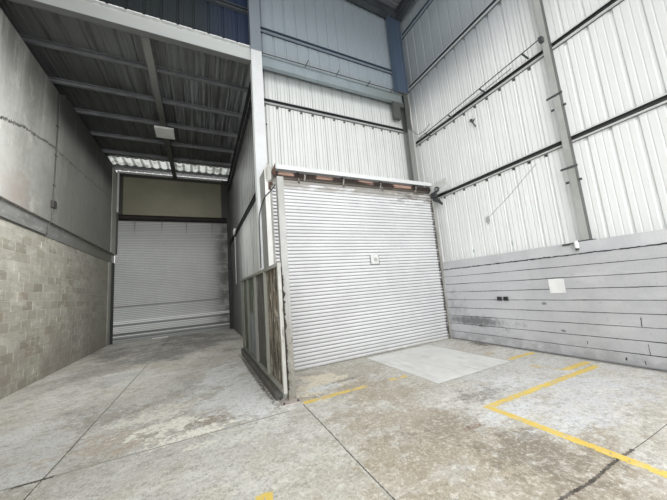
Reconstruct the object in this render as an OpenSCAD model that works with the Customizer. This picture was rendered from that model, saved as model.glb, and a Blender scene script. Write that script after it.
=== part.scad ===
/* [Hall] */
// Clear width between the two long walls of the hall
hall_w = 9310; // [8400:10:11000]
// Spacing of the portal frames along the hall
bay = 3670; // [3200:10:4400]
// Number of whole bays that are built
bays = 2; // [1:1:4]
// Run of floor and walls in front of the first frame line
front_run = 120; // [100:10:400]
// Height of the column tops above the floor
eaves_h = 10040; // [9600:10:12000]
// Slope of the hall roof in degrees
roof_pitch = 3; // [2:1:12]

/* [Lane] */
// Clear width of the loading lane
lane_w = 4780; // [4200:10:5000]
// Depth of the lane behind the end frame
lane_d = 8580; // [7600:10:9600]
// Height of the underside of the lane purlins
lane_h = 7500; // [7300:10:7900]
// Width of the lamp under the lane roof
lamp_w = 560; // [300:10:900]
// Length of the lamp along the lane
lamp_l = 640; // [300:10:900]
// Depth of the lamp
lamp_h = 70; // [50:5:120]
// Share of the lane depth at which the lamp hangs
lamp_share = 0.47; // [0.2:0.01:0.8]
// Spacing of the lane purlins
lane_purlin_pitch = 1300; // [1000:10:1500]
// Distance from the end frame line to the first lane purlin
lane_purlin_first = 1600; // [900:10:1900]

/* [Floor] */
// Thickness of the concrete floor slab
slab_t = 150; // [120:5:250]
// Size of the recast patch of floor, across the hall
patch_w = 1800; // [1000:10:2400]
// Size of the recast patch of floor, along the hall
patch_d = 2050; // [1000:10:2400]
// Depth of the recast patch
patch_t = 60; // [30:5:100]
// Distance from the patch to the right wall
patch_side = 930; // [300:10:1500]
// Distance from the patch to the shutter
patch_front = 150; // [100:10:800]

/* [Left wall] */
// Thickness of the masonry walls
wall_t = 200; // [150:10:250]
// Height of the bare block wall on the left
left_block_h = 3350; // [2800:10:3600]
// Height of the ring beam above the blocks
left_beam_h = 360; // [250:10:450]
// How far the ring beam stands proud of the blocks
left_beam_proud = 25; // [10:5:60]
// How far the plastered wall stands proud of the blocks
left_upper_proud = 100; // [60:5:180]
// Drop from the lane purlins to the top of the plastered wall along the hall
left_upper_drop = 300; // [260:10:500]
// Extra height of the plastered wall at the back of the lane
left_upper_step = 200; // [100:10:240]
// Distance from the end frame line to that step
left_step_y = 3260; // [2000:10:5000]
// Depth of the dark fascia over the plastered wall
fascia_t = 120; // [60:5:160]
// Rise from the plastered wall to the first girt over it
left_girt_rise = 385; // [200:5:700]

/* [Right wall] */
// Height of the painted block wall on the right
right_block_h = 1800; // [1400:10:2200]
// Height of the ring beam above it
right_beam_h = 200; // [150:10:300]

/* [Sheeting] */
// Spacing of the main ribs of the wall and roof sheets
rib_pitch = 316; // [250:1:400]
// Distance of the first rib from the edge of the end wall and roof sheets
rib_first = 40; // [34:1:200]
// Distance of the first rib of the side walls from the end wall
side_rib_first = 308; // [34:1:316]
// Height of the main ribs
rib_h = 30; // [20:1:40]
// Height of the small swages between the main ribs
swage_h = 4; // [3:1:10]
// Width of the small swages
swage_w = 26; // [20:1:60]
// Width of the top of a main rib
rib_top = 26; // [20:1:50]
// Width of the foot of a main rib
rib_foot = 62; // [56:1:120]
// Thickness of the sheets as modelled
sheet_t = 6; // [3:1:10]
// Run of the side sheets below the top of the ring beam
sheet_lap = 100; // [40:5:160]

/* [Steelwork] */
// Width of the wall columns along the wall
column_w = 110; // [90:5:160]
// Depth of the wall columns across the wall
column_d = 100; // [80:5:140]
// Plate thickness of the boxed columns
box_t = 8; // [5:1:12]
// Width of the corner column across the hall
corner_w = 220; // [160:5:300]
// Width of the corner column above the tie beam
corner_top_w = 400; // [300:5:460]
// Thickness of the cap plate between the two parts of the corner column
cap_t = 26; // [12:1:40]
// Width of the corbel under the tie beam beside the corner column
corbel_w = 400; // [250:10:500]
// Height of the corbel
corbel_h = 550; // [300:10:700]
// Depth of the end frame columns along the hall
end_column_d = 200; // [160:5:260]
// Width of the tall central column
centre_w = 250; // [200:5:340]
// Flange and plate thickness of the steelwork
flange_t = 14; // [8:1:20]
// Web thickness of the steelwork
web_t = 10; // [6:1:14]
// Depth of the rafters
rafter_d = 320; // [240:10:420]
// Flange width of the rafters
rafter_w = 160; // [120:5:200]
// Length of the haunch under each end of a rafter
haunch_l = 900; // [500:10:1400]
// Depth of the haunch at the column
haunch_d = 300; // [150:10:400]
// Height of the girt and purlin sections
girt_h = 120; // [90:5:160]
// Depth of the girt sections
girt_d = 80; // [60:5:100]
// Wall thickness of the girt and purlin sections
girt_t = 6; // [4:1:10]
// Height of the lips of the girt and purlin sections
lip_h = 20; // [12:1:30]
// Height of the middle of the first girt of the right wall
girt_first = 3865; // [3400:5:4200]
// Spacing of the girts up the walls
girt_pitch = 1890; // [1500:10:2100]
// Depth of the hall purlins
purlin_h = 140; // [100:5:180]
// Distance from the ridge to the first hall purlin
purlin_first = 160; // [100:10:400]
// Spacing of the hall purlins across the roof
purlin_pitch = 1500; // [1200:10:1700]
// Reach of the ridge cap down each slope
ridge_lap = 180; // [120:10:300]
// Depth of the tie beam in the end frame
tie_h = 300; // [250:10:400]
// Height of the underside of the tie beam
tie_z = 6985; // [6600:5:7100]
// Depth of the eaves beam over the mouth of the lane
lane_beam_h = 385; // [300:5:440]
// Drop from the lane purlins to the top of the lane eaves beam
lane_beam_drop = 110; // [40:5:160]
// Flange width of the tie beam
tie_w = 110; // [90:5:160]
// Flange width of the eaves beams
beam_w = 140; // [100:5:180]
// Depth of the rafter under the lane roof
lane_rafter_d = 150; // [120:5:200]
// Width of the rafter under the lane roof
lane_rafter_w = 160; // [100:5:200]
// Height of the lower girt of the sheeted wall of the lane
lane_girt_z = 4100; // [3000:10:4600]
// Height from there to the upper girt
lane_girt_pitch = 2750; // [2000:10:2900]
// Distance of the lane rafter from the left wall
lane_rafter_x = 2350; // [1800:10:2900]

/* [Near shutter] */
// Height of the top of the slatted curtain
near_top = 3950; // [3400:10:4000]
// Height of the axis of the barrel
near_axis = 4080; // [4000:10:4200]
// Distance of the curtain in front of the end frame line
near_front = 470; // [350:10:600]
// Spacing of the slats
slat_pitch = 75; // [60:1:110]
// How far the slats bulge
slat_bulge = 14; // [8:1:20]
// Thickness of the slats as modelled
slat_t = 8; // [5:1:12]
// Radius of the barrel
barrel_r = 84; // [60:1:110]
// Radius of the drum wheels on the barrel
drum_r = 108; // [90:1:130]
// Number of drum wheels on each barrel
drums = 4; // [2:1:6]
// Width of the boxed jamb beside the central column
jamb_w = 100; // [80:5:200]
// How far the jamb reaches to the left of the hall centre line
jamb_left = 60; // [0:5:120]
// How far the jamb stands out in front of the shutter guides
jamb_step = 50; // [0:5:80]
// Height of the jamb
jamb_h = 4100; // [3900:10:4140]
// Height of the lower edge of the white hood
hood_z = 4170; // [4150:10:4400]
// Height of the front lip of the hood
hood_lip = 100; // [60:5:140]
// Distance of the left end of the hood from the jamb
hood_gap = 110; // [0:5:200]
// How far the right end plate of the barrel reaches in front of the curtain
end_plate_reach = 560; // [200:10:700]
// Height of that long end plate
end_plate_h = 340; // [250:10:350]

/* [Far shutter] */
// Height of the top of the far curtain
far_top = 5250; // [4800:10:5400]
// Height of the axis of the far barrel
far_axis = 5390; // [5360:10:5500]
// Width of the dark post at the right of the far shutter
far_post_w = 150; // [120:5:300]
// Width of that post above the shutter
far_post_top_w = 80; // [60:5:110]
// Width of the white rails of the frame over the far shutter
far_rail = 80; // [60:5:100]
// Depth of the end frame of the lane
far_frame_d = 240; // [220:5:300]
// Height of the lower edge of the panel over the far shutter
far_panel_z = 5520; // [5520:10:5700]
// Thickness of that panel
far_panel_t = 60; // [40:5:100]

/* [Guard post and screen] */
// Side of the square guard post
post_w = 104; // [90:2:160]
// Height of the guard post
post_h = 3390; // [2600:10:3600]
// Distance of the guard post in front of the end frame line
post_front = 1830; // [1200:10:2200]
// Distance of the guard post to the left of the hall centre line
post_x = 100; // [0:5:140]
// Side of the base plate
plate_w = 260; // [200:10:400]
// Thickness of the base plate
plate_t = 12; // [8:1:20]
// Offset of the base plate towards the screen and the front
plate_shift = 50; // [0:5:80]
// Length of the guard screen
screen_l = 4120; // [3000:10:5400]
// Height of the guard screen
screen_h = 1990; // [1500:10:2400]
// Height of the kerb under the guard screen
kerb_h = 140; // [60:5:200]
// How far the kerb stands out in front of the guard screen
kerb_step = 60; // [20:5:100]
// Side of the tube of the guard screen
tube = 50; // [40:2:60]
// Number of bays in the guard screen
screen_bays = 4; // [2:1:9]
// Gap between the guard screen and the post
screen_clear = 50; // [30:5:90]
// Wave length of the corrugated sheets of the screen
wave_l = 76; // [50:1:120]
// Depth of those waves
wave_d = 18; // [10:1:30]

/* [Hidden] */

// Planes across the hall, with x measured from its centre line
inner_x = hall_w/2;
outer_x = inner_x + wall_t;
column_set = 20;
column_x = inner_x + column_set;
girt_x = column_x + column_d;
sheet_x = girt_x + girt_d;
skin_x = sheet_x + rib_h;
upper_x = inner_x - left_upper_proud;
fascia_x = outer_x - fascia_t;
lane_x = -inner_x + lane_w;
lane_skin_x = lane_x + rib_h;

// Planes along the hall, with y measured from the first frame line
front_y = -front_run;
end_y = bays*bay;
end_front_y = end_y - end_column_d/2;
end_back_y = end_y + end_column_d/2;
end_sheet_y = end_back_y + girt_d;
end_skin_y = end_sheet_y + rib_h;
far_y = end_y + lane_d;
back_y = far_y + far_frame_d;
near_y = end_y - near_front;
roof_over = 60;
mid_y = (front_y + back_y)/2;

// Heights
roof_tan = tan(roof_pitch);
ridge_h = eaves_h + column_x*roof_tan;
left_beam_top = left_block_h + left_beam_h;
right_beam_top = right_block_h + right_beam_h;
side_sheet_z = right_beam_top - sheet_lap;
left_upper_h = lane_h - left_upper_drop;
left_far_h = left_upper_h + left_upper_step;
tie_top = tie_z + tie_h;
lane_sheet_z = lane_h + girt_h;
lane_top_z = lane_sheet_z + rib_h;
lane_beam_top = lane_h - lane_beam_drop;
lane_beam_z = lane_beam_top - lane_beam_h;
seam = 5;

// Height of the underside of the rafters at a distance x from the centre line
function rafter_under(x) = ridge_h - abs(x)*roof_tan;
// Height of the underside of the roof sheets
function roof_under(x) = rafter_under(x) + rafter_d + purlin_h/cos(roof_pitch);

// Columns are cut to the slope of the rafters that they carry
module under_rafters() intersection() {
    children();
    along_y(front_y, back_y) polygon([[-sheet_x, -slab_t], [sheet_x, -slab_t],
        [sheet_x, rafter_under(sheet_x)], [0, ridge_h], [-sheet_x, rafter_under(sheet_x)]]);
}

module place() translate([0, -mid_y, slab_t]) children();

// A block from its lowest corner to its highest corner
module span(low, high) translate(low) cube(high - low);

// An outline drawn in x and z, carried from y0 to y1
module along_y(y0, y1) translate([0, y1, 0]) rotate([90, 0, 0]) linear_extrude(y1 - y0) children();

// The cross-section of a ribbed sheet of width w, with its ribs towards +y
function rib_at(c, foot, top, h) = [[c - foot/2, 0], [c - top/2, h], [c + top/2, h], [c + foot/2, 0]];
function rib_points(w, h, first) = let(
    n = floor((w - first - rib_foot/2)/rib_pitch),
    face = [for (i = [0:n]) let(c = first + i*rib_pitch) each concat(rib_at(c, rib_foot, rib_top, h),
        i == n ? [] : [for (k = [1, 2])
            each rib_at(c + k*rib_pitch/3, swage_w, swage_w/3, swage_h)])])
    concat([[0, 0]], face, [[w, 0]]);
module rib_profile(w, first = rib_first) {
    points = rib_points(w, rib_h - sheet_t, first);
    count = len(points);
    polygon(concat([for (p = points) [p[0], p[1] + sheet_t]],
        [for (i = [count - 1:-1:0]) points[i]]));
}
// A ribbed sheet that stands with its ribs upright, w wide and h high
module ribbed_sheet(w, h, first = rib_first) linear_extrude(h) rib_profile(w, first);

// A lipped channel that is open towards -x, d deep and h high, run along +y
module lipped(d, h, l) difference() {
    cube([d, l, h]);
    translate([girt_t, -1, girt_t]) cube([d - 2*girt_t, l + 2, h - 2*girt_t]);
    translate([-1, -1, lip_h]) cube([girt_t + 2, l + 2, h - 2*lip_h]);
}

// An I-section standing up, w across the flanges in y and d deep in x
module upright_i(d, w, h) {
    cube([flange_t, w, h]);
    translate([d - flange_t, 0, 0]) cube([flange_t, w, h]);
    translate([flange_t, w/2 - web_t/2, 0]) cube([d - 2*flange_t, web_t, h]);
}

// An I-section standing up, w across the flanges in x and d deep in y
module upright_h(w, d, h) {
    cube([w, flange_t, h]);
    translate([0, d - flange_t, 0]) cube([w, flange_t, h]);
    translate([w/2 - web_t/2, flange_t, 0]) cube([web_t, d - 2*flange_t, h]);
}

// A boxed column, open at its top
module box_column(d, w, h) difference() {
    cube([d, w, h]);
    translate([box_t, box_t, box_t]) cube([d - 2*box_t, w - 2*box_t, h]);
}

// An I-beam run along +x, w wide in y and h deep in z
module beam_x(l, w, h) {
    cube([l, w, flange_t]);
    translate([0, 0, h - flange_t]) cube([l, w, flange_t]);
    translate([0, w/2 - web_t/2, flange_t]) cube([l, web_t, h - 2*flange_t]);
}

module floor_slab_hall() color("#a9a69c") place() difference() {
    span([-outer_x, front_y, -slab_t], [outer_x, end_skin_y, 0]);
    patch(patch_t + 1);
}
module patch(t) translate([inner_x - patch_side - patch_w, near_y - patch_front - patch_d, -patch_t])
    cube([patch_w, patch_d, t]);
module floor_slab_lane() color("#8e8d88") place()
    span([-outer_x, end_skin_y, -slab_t], [lane_skin_x, back_y, 0]);
module floor_patch() color("#bdbbb3") place() patch(patch_t);

module left_block_wall() color("#a5a397") place()
    span([-outer_x, front_y, 0], [-inner_x, back_y, left_block_h]);
module left_ring_beam() color("#8c9196") place()
    span([-outer_x, front_y, left_block_h], [-inner_x + left_beam_proud, back_y, left_beam_top]);
module left_upper_wall() color("#9d9d98") place() {
    span([-outer_x, front_y, left_beam_top], [-upper_x, back_y, left_upper_h]);
    span([-outer_x, end_y + left_step_y, left_upper_h], [-upper_x, back_y, left_far_h]);
}
module lane_wall_fascia() color("#3a3b3d") place() difference() {
    span([-outer_x, end_back_y, left_upper_h], [-fascia_x, back_y, lane_sheet_z]);
    span([-outer_x - 1, end_y + left_step_y, left_upper_h - 1], [-fascia_x + 1, back_y + 1, left_far_h]);
    span([-outer_x + fascia_t/2, end_back_y - 1, lane_h], [-fascia_x + 1, back_y + 1, lane_sheet_z + 1]);
}

// The side walls are mirrored, with the sheets outside the girts
module side_sheet(z0) translate([sheet_x, end_skin_y, z0]) rotate([0, 0, -90])
    ribbed_sheet(end_skin_y - front_y, roof_under(skin_x) - seam - z0, side_rib_first);
module side_girt(z) translate([girt_x, front_y, z - girt_h/2])
    lipped(girt_d, girt_h, end_back_y - front_y);
module left_high_sheeting() color("#8f979c") place() mirror([1, 0, 0])
    side_sheet(left_upper_h - sheet_lap);
module left_high_girts() color("#5d6266") place() mirror([1, 0, 0])
    for (i = [0, 1]) side_girt(left_upper_h + left_girt_rise + girt_h/2 + i*girt_pitch);
module left_columns() color("#8e9294") place() under_rafters() mirror([1, 0, 0]) {
    for (i = [0:bays - 1]) translate([column_x, i*bay - column_w/2, left_upper_h])
        box_column(column_d, column_w, ridge_h - left_upper_h);
    translate([column_x, end_front_y, left_upper_h])
        upright_i(column_d, end_column_d, ridge_h - left_upper_h);
}

module right_block_wall() color("#85888c") place()
    span([inner_x, front_y, 0], [outer_x, end_skin_y, right_block_h]);
module right_ring_beam() color("#8a8d92") place()
    span([inner_x, front_y, right_block_h], [outer_x, end_skin_y, right_beam_top]);
module right_sheeting() color("#dfe2de") place() side_sheet(side_sheet_z);
module right_girts() color("#aeb2b2") place()
    for (i = [0:3]) side_girt(girt_first + i*girt_pitch);

module wall_column(i) under_rafters() translate([column_x, i*bay - column_w/2, right_beam_top])
    box_column(column_d, column_w, ridge_h - right_beam_top);
module column_right_front() color("#c8cac6") place() wall_column(0);
module column_right_mid() color("#c8cac6") place() wall_column(1);
module column_corner() color("#8f959a") place() {
    translate([inner_x - corner_w, end_front_y, 0]) upright_h(corner_w, end_column_d, tie_top);
    span([inner_x - corner_top_w - cap_t, end_front_y - cap_t, tie_top],
        [inner_x, end_back_y, tie_top + cap_t]);
    under_rafters() translate([inner_x - corner_top_w, end_front_y, tie_top + cap_t])
        upright_i(corner_top_w, end_column_d, ridge_h - tie_top - cap_t);
    // The corbel has a plate on top and a boxed bracket below
    corbel_x = inner_x - corner_w - corbel_w;
    span([corbel_x, end_y - tie_w/2, tie_z - corbel_h/4], [inner_x - corner_w, end_y + tie_w/2, tie_z]);
    span([corbel_x, end_y - tie_w/2, tie_z - corbel_h], [corbel_x + 0.6*corbel_w, end_y + tie_w/2,
        tie_z - corbel_h/4]);
    for (i = [0:3]) span([inner_x, end_y - web_t/2, girt_first + i*girt_pitch - girt_h/2],
        [girt_x, end_y + web_t/2, girt_first + i*girt_pitch + girt_h/2]);
}
module column_centre() color("#d9dcdc") place() under_rafters()
    translate([-centre_w/2, end_front_y, 0]) box_column(centre_w, end_column_d, ridge_h);

module tie_beam() color("#b9bdbd") place()
    translate([centre_w/2, end_y - tie_w/2, tie_z])
        beam_x(inner_x - corner_w - centre_w/2, tie_w, tie_h);
module lane_eaves_beam() color("#b4b7b4") place()
    translate([-upper_x, end_y - beam_w/2, lane_beam_z])
        beam_x(upper_x - centre_w/2, beam_w, lane_beam_h);

// End wall sheets, cut to the slope of the roof
module gable(x0, x1, z0) intersection() {
    translate([x0, end_sheet_y, z0]) ribbed_sheet(x1 - x0, ridge_h + rafter_d + purlin_h - z0);
    along_y(end_sheet_y - 1, end_skin_y + 1) polygon([[x0 - 1, z0], [x1 + 1, z0],
        [x1 + 1, roof_under(x1 + 1) - seam],
        each (x0 < 0 ? [[0, roof_under(0) - seam]] : []),
        [x0 - 1, roof_under(x0 - 1) - seam]]);
}
module end_wall_sheeting() color("#e3e5e1") place() gable(lane_skin_x, sheet_x, near_axis);
module end_girt(x0, x1, z) translate([x0, end_back_y, z]) rotate([0, 0, -90])
    mirror([1, 0, 0]) lipped(girt_d, girt_h, x1 - x0);
// The girts of the end wall stand higher than those of the side by these shares of their spacing
end_rises = [1.2, 2.25];
high_rise = 2.45;
module end_wall_girts() color("#a4a9aa") place() {
    for (rise = end_rises) end_girt(lane_skin_x, girt_x, girt_first + rise*girt_pitch);
    end_girt(lane_skin_x, girt_x, hood_z);
}
module high_wall_sheeting() color("#3c4658") place() gable(-sheet_x, lane_skin_x, lane_top_z + seam);
module high_wall_girts() color("#303846") place() {
    end_girt(-fascia_x, lane_x, lane_beam_top);
    end_girt(-girt_x, lane_x, girt_first + high_rise*girt_pitch);
}

// One rafter pair with haunches, cut from plates that follow the slope
module slope_band(low, high) polygon([[-girt_x, rafter_under(girt_x) + low],
    [0, ridge_h + low], [girt_x, rafter_under(girt_x) + low], [girt_x, rafter_under(girt_x) + high],
    [0, ridge_h + high], [-girt_x, rafter_under(girt_x) + high]]);
module rafter(y) {
    along_y(y - rafter_w/2, y + rafter_w/2) {
        slope_band(0, flange_t);
        slope_band(rafter_d - flange_t, rafter_d);
    }
    along_y(y - web_t/2, y + web_t/2) slope_band(flange_t/2, rafter_d - flange_t/2);
}
// A haunch bites a little into the rafter that it is welded to
bite = 1;
module haunch(y) for (s = [0, 1]) mirror([s, 0, 0]) {
    root = column_x;
    along_y(y - rafter_w/2, y + rafter_w/2) polygon([[root, eaves_h - haunch_d],
        [root, eaves_h - haunch_d + flange_t], [root - haunch_l, rafter_under(root - haunch_l) + bite],
        [root - haunch_l - flange_t*2, rafter_under(root - haunch_l - flange_t*2) + bite]]);
    along_y(y - web_t/2, y + web_t/2) polygon([[root, eaves_h - haunch_d + flange_t/2],
        [root, rafter_under(root) + bite], [root - haunch_l, rafter_under(root - haunch_l) + bite]]);
}
module rafter_front() color("#5a616a") place() { rafter(0); haunch(0); }
module rafter_mid() color("#5a616a") place() { rafter(bay); haunch(bay); }
module rafter_end() color("#5a616a") place() rafter(end_y);

purlin_n = floor((girt_x - purlin_first - girt_d)/purlin_pitch);
purlin_short = 10;
purlin_w = girt_d - purlin_short;
module hall_purlins() color("#6a7076") place() for (s = [0, 1]) mirror([s, 0, 0])
    translate([0, 0, ridge_h + rafter_d]) rotate([0, roof_pitch, 0])
        for (i = [0:purlin_n]) translate([purlin_first + i*purlin_pitch, front_y, 0])
            lipped(purlin_w, purlin_h, end_sheet_y - front_y);
module eaves_beams() color("#4c545c") place() for (s = [0, 1]) mirror([s, 0, 0])
    for (i = [0:bays - 1])
        let(y0 = i*bay + rafter_w/2, last = i == bays - 1,
            y1 = last ? end_front_y : (i + 1)*bay - rafter_w/2)
            translate([column_x - beam_w, y0, eaves_h - column_d]) {
                cube([beam_w, y1 - y0, flange_t]);
                translate([0, 0, column_d - flange_t]) cube([beam_w, y1 - y0, flange_t]);
                translate([beam_w/2 - web_t/2, 0, flange_t])
                    cube([web_t, y1 - y0, column_d - 2*flange_t]);
            }

// Roof slopes of the hall, with their ribs down the slope
module roof_slope() translate([0, front_y, roof_under(0)]) rotate([0, roof_pitch, 0])
    rotate([90, 0, 90]) linear_extrude((skin_x + roof_over)/cos(roof_pitch))
        rib_profile(end_skin_y + roof_over - front_y);
module hall_roof_right() color("#8d9296") place() roof_slope();
module hall_roof_left() color("#8d9296") place() mirror([1, 0, 0]) roof_slope();
module ridge_cap() color("#878c90") place() {
    lap = ridge_lap;
    lift = rib_h/cos(roof_pitch);
    along_y(front_y, end_skin_y + roof_over) polygon([
        [-lap, roof_under(lap) + lift], [0, roof_under(0) + lift], [lap, roof_under(lap) + lift],
        [lap, roof_under(lap) + lift + sheet_t], [0, roof_under(0) + lift + sheet_t],
        [-lap, roof_under(lap) + lift + sheet_t]]);
}

module lane_side_sheeting() color("#7c807d") place()
    translate([lane_x, back_y, 0]) rotate([0, 0, -90]) ribbed_sheet(back_y - end_back_y, lane_h);
lane_girt_d = girt_d - 15;
module lane_side_girts() color("#2e3031") place() for (z = [lane_girt_z, lane_girt_z + lane_girt_pitch,
    lane_h - girt_h])
    translate([lane_x - lane_girt_d, end_back_y, z]) lipped(lane_girt_d, girt_h, far_y - end_back_y);
module lane_rafter() color("#5b5d5d") place()
    translate([-inner_x + lane_rafter_x - lane_rafter_w/2, end_y + beam_w/2, lane_h - lane_rafter_d])
        cube([lane_rafter_w, far_y - end_y - beam_w/2, lane_rafter_d]);
lane_purlin_n = floor((lane_d - lane_purlin_first - girt_d)/lane_purlin_pitch);
lane_purlin_x = -outer_x + fascia_t/2;
module lane_purlins() color("#6a6c6b") place() for (i = [0:lane_purlin_n])
    translate([lane_purlin_x, end_y + lane_purlin_first + i*lane_purlin_pitch, lane_h])
        mirror([0, 1, 0]) rotate([0, 0, -90]) lipped(girt_d, girt_h, lane_skin_x - lane_purlin_x);
module lane_roof_sheeting() color("#55585a") place()
    translate([-outer_x, back_y, lane_sheet_z]) rotate([90, 0, 0])
        linear_extrude(back_y - end_skin_y) rib_profile(lane_skin_x + outer_x);

far_left_x = -upper_x;
far_right_x = lane_x - far_post_w;
far_top_x = lane_x - far_post_top_w;
far_clear = 10;
far_set = slat_bulge + far_clear;
far_curtain_y = far_y + far_set;
module far_shutter_post() color("#2b2a28") place() {
    span([far_right_x, far_y, 0], [lane_x, back_y, far_panel_z]);
    span([far_top_x, far_y, far_panel_z], [lane_x, back_y, lane_h]);
}
module lane_end_frame() color("#c9cac6") place() {
    span([far_left_x, far_y, left_beam_top], [far_left_x + far_rail, far_y + far_rail, lane_h]);
    span([far_left_x + far_rail, far_y, lane_h - far_rail], [far_top_x, far_y + far_rail, lane_h]);
}
module lane_end_panel() color("#75725f") place()
    span([far_left_x, far_y + far_rail, far_panel_z],
        [far_top_x, far_y + far_rail + far_panel_t, lane_h]);

// Slat curtain: each slat is a bowed strip hooked into the next
slat_steps = 6;
function slat_y(k) = slat_bulge*sin(180*k/slat_steps);
module slat_profile(h) {
    n = floor(h/slat_pitch);
    edge = [for (i = [0:n - 1]) each [for (k = [0:slat_steps - 1])
        [slat_y(k), (i + k/slat_steps)*slat_pitch]]];
    top = [[0, n*slat_pitch], [0, h]];
    outer = concat(edge, top);
    count = len(outer);
    polygon(concat(outer, [for (i = [count - 1:-1:0]) outer[i] - [slat_t, 0]]));
}
// A curtain w wide and h high that bulges towards -y
module curtain(w, h) rotate([90, 0, 0]) rotate([0, 90, 0]) linear_extrude(w)
    mirror([1, 0]) slat_profile(h);
// A barrel of width w whose drum wheels carry straps down to the head of the curtain
module barrel(w, drop) {
    rotate([0, 90, 0]) cylinder(r = barrel_r, h = w, $fn = 48);
    for (i = [0:drums - 1]) translate([(i + 0.5)*w/drums, 0, 0]) {
        translate([-drum_t/2, 0, 0]) rotate([0, 90, 0]) cylinder(r = drum_r, h = drum_t, $fn = 48);
        translate([-drum_t, -barrel_set, -drop - strap_lap]) cube([2*drum_t, strap_t, drop]);
    }
}
drum_t = 16;
strap_t = 6;
strap_lap = 60;
barrel_set = barrel_r + 4;

near_left_x = jamb_w - jamb_left;
hood_left_x = near_left_x + hood_gap;
guide_w = 60;
guide_t = 6;
end_plate_t = 10;
module near_shutter_curtain() color("#e6e8e6") place()
    translate([near_left_x + end_plate_t, near_y, 0])
        curtain(inner_x - near_left_x - 2*end_plate_t, near_top);
module near_shutter_barrel() color("#6b4a3a") place()
    translate([hood_left_x + end_plate_t, near_y + barrel_set, near_axis])
        barrel(inner_x - hood_left_x - 2*end_plate_t, near_axis - near_top);
module near_shutter_jamb() color("#d4cfc6") place()
    span([-jamb_left, near_y - guide_w - jamb_step, 0], [near_left_x, end_front_y, jamb_h]);
module guide(x, side) difference() {
    span([x, near_y - guide_w, 0], [x + guide_w, near_y + guide_w, near_axis - 2*drum_r]);
    span([x + (side > 0 ? guide_t : -1), near_y - slat_bulge - 2*slat_t, -1],
        [x + guide_w + (side > 0 ? 1 : -guide_t), near_y + slat_t, near_top]);
}
module near_shutter_guides() color("#c9c9c3") place() {
    guide(near_left_x, 1);
    guide(inner_x - guide_w, -1);
}
hood_t = 6;
hood_y = near_y - barrel_r/2;
module near_shutter_hood() color("#eceeec") place() {
    span([hood_left_x, hood_y, hood_z], [inner_x, hood_y + hood_t, hood_z + hood_lip]);
    span([hood_left_x, hood_y, hood_z + hood_lip - hood_t], [inner_x, end_front_y, hood_z + hood_lip]);
}
// The left end plate is short, and the right one runs out along the wall to carry the drive
module near_shutter_end_plates() color("#b7b4ac") place() {
    for (x = [hood_left_x, inner_x - end_plate_t])
        span([x, hood_y + hood_t, near_axis - 2*barrel_r],
            [x + end_plate_t, near_y + barrel_set + drum_r, hood_z + hood_lip - hood_t]);
    low = hood_z + hood_lip/2 - end_plate_h;
    span([inner_x - end_plate_t, near_y - end_plate_reach, low], [inner_x, hood_y, low + end_plate_h]);
    span([inner_x - end_plate_t, hood_y - hood_t, low], [inner_x, hood_y + 2*hood_t, hood_z]);
}

module far_shutter_curtain() color("#8c8f90") place()
    translate([far_left_x, far_curtain_y, 0]) curtain(far_right_x - far_left_x, far_top);
module far_shutter_barrel() color("#4a443f") place()
    translate([far_left_x, far_curtain_y + barrel_set, far_axis])
        barrel(far_right_x - far_left_x, far_axis - far_top);
module far_shutter_guides() color("#3c3733") place()
    span([-inner_x, far_y, 0], [far_left_x, back_y, left_block_h]);
module lane_lamp() color("#b8bbb6") place()
    translate([-inner_x + lane_rafter_x - lamp_w/2, end_y + lamp_share*lane_d,
        lane_h - lane_rafter_d - lamp_h]) cube([lamp_w, lamp_l, lamp_h]);

screen_x = -post_x - post_w/2 - screen_clear - tube;
post_y = end_y - post_front;
stile_on_plate = 10;
screen_y = post_y - plate_w/2 - tube + stile_on_plate;
screen_end_y = screen_y + screen_l;
screen_pitch = (screen_l - tube)/screen_bays;
kerb_y = post_y + plate_w/2 - plate_shift + 5;
module guard_post() color("#c9c8c0") place() {
    translate([-post_x - plate_shift - plate_w/2, post_y - plate_shift - plate_w/2, 0])
        cube([plate_w, plate_w, plate_t]);
    translate([-post_x - post_w/2, post_y - post_w/2, plate_t]) difference() {
        cube([post_w, post_w, post_h - plate_t]);
        translate([box_t, box_t, -1]) cube([post_w - 2*box_t, post_w - 2*box_t,
            post_h - plate_t - box_t + 1]);
    }
}
module guard_screen_frame() color("#b3b2a9") place() {
    for (i = [0:screen_bays]) translate([screen_x, screen_y + i*screen_pitch, kerb_h])
        cube([tube, tube, screen_h - kerb_h]);
    for (z = [kerb_h, screen_h - tube])
        translate([screen_x, screen_y, z]) cube([tube, screen_l, tube]);
    span([screen_x - kerb_step, kerb_y, 0], [screen_x + tube, screen_end_y, kerb_h]);
    for (z = [kerb_h, screen_h - tube]) span([screen_x + tube, post_y - tube/2, z],
        [-post_x - post_w/2, post_y + tube/2, z + tube]);
}
// The screen is clad with corrugated sheet, hung between its rails
wave_steps = 6;
function wave_x(k) = wave_d/2*(1 - cos(360*k/wave_steps));
module corrugated(w, h) {
    count = floor(w/wave_l)*wave_steps;
    edge = [for (k = [0:count]) [wave_x(k), k*wave_l/wave_steps]];
    linear_extrude(h) polygon(concat(edge, [for (i = [count:-1:0]) edge[i] + [sheet_t, 0]]));
}
module guard_screen_sheets() color("#6e5a45") place() difference() {
    translate([screen_x + tube, screen_y + tube, kerb_h + tube/2])
        corrugated(screen_l - 2*tube, screen_h - kerb_h - tube);
    for (z = [kerb_h - 1, screen_h - tube - 5]) span([screen_x, post_y - tube, z],
        [-post_x, post_y + tube, z + tube + 6]);
}

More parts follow.
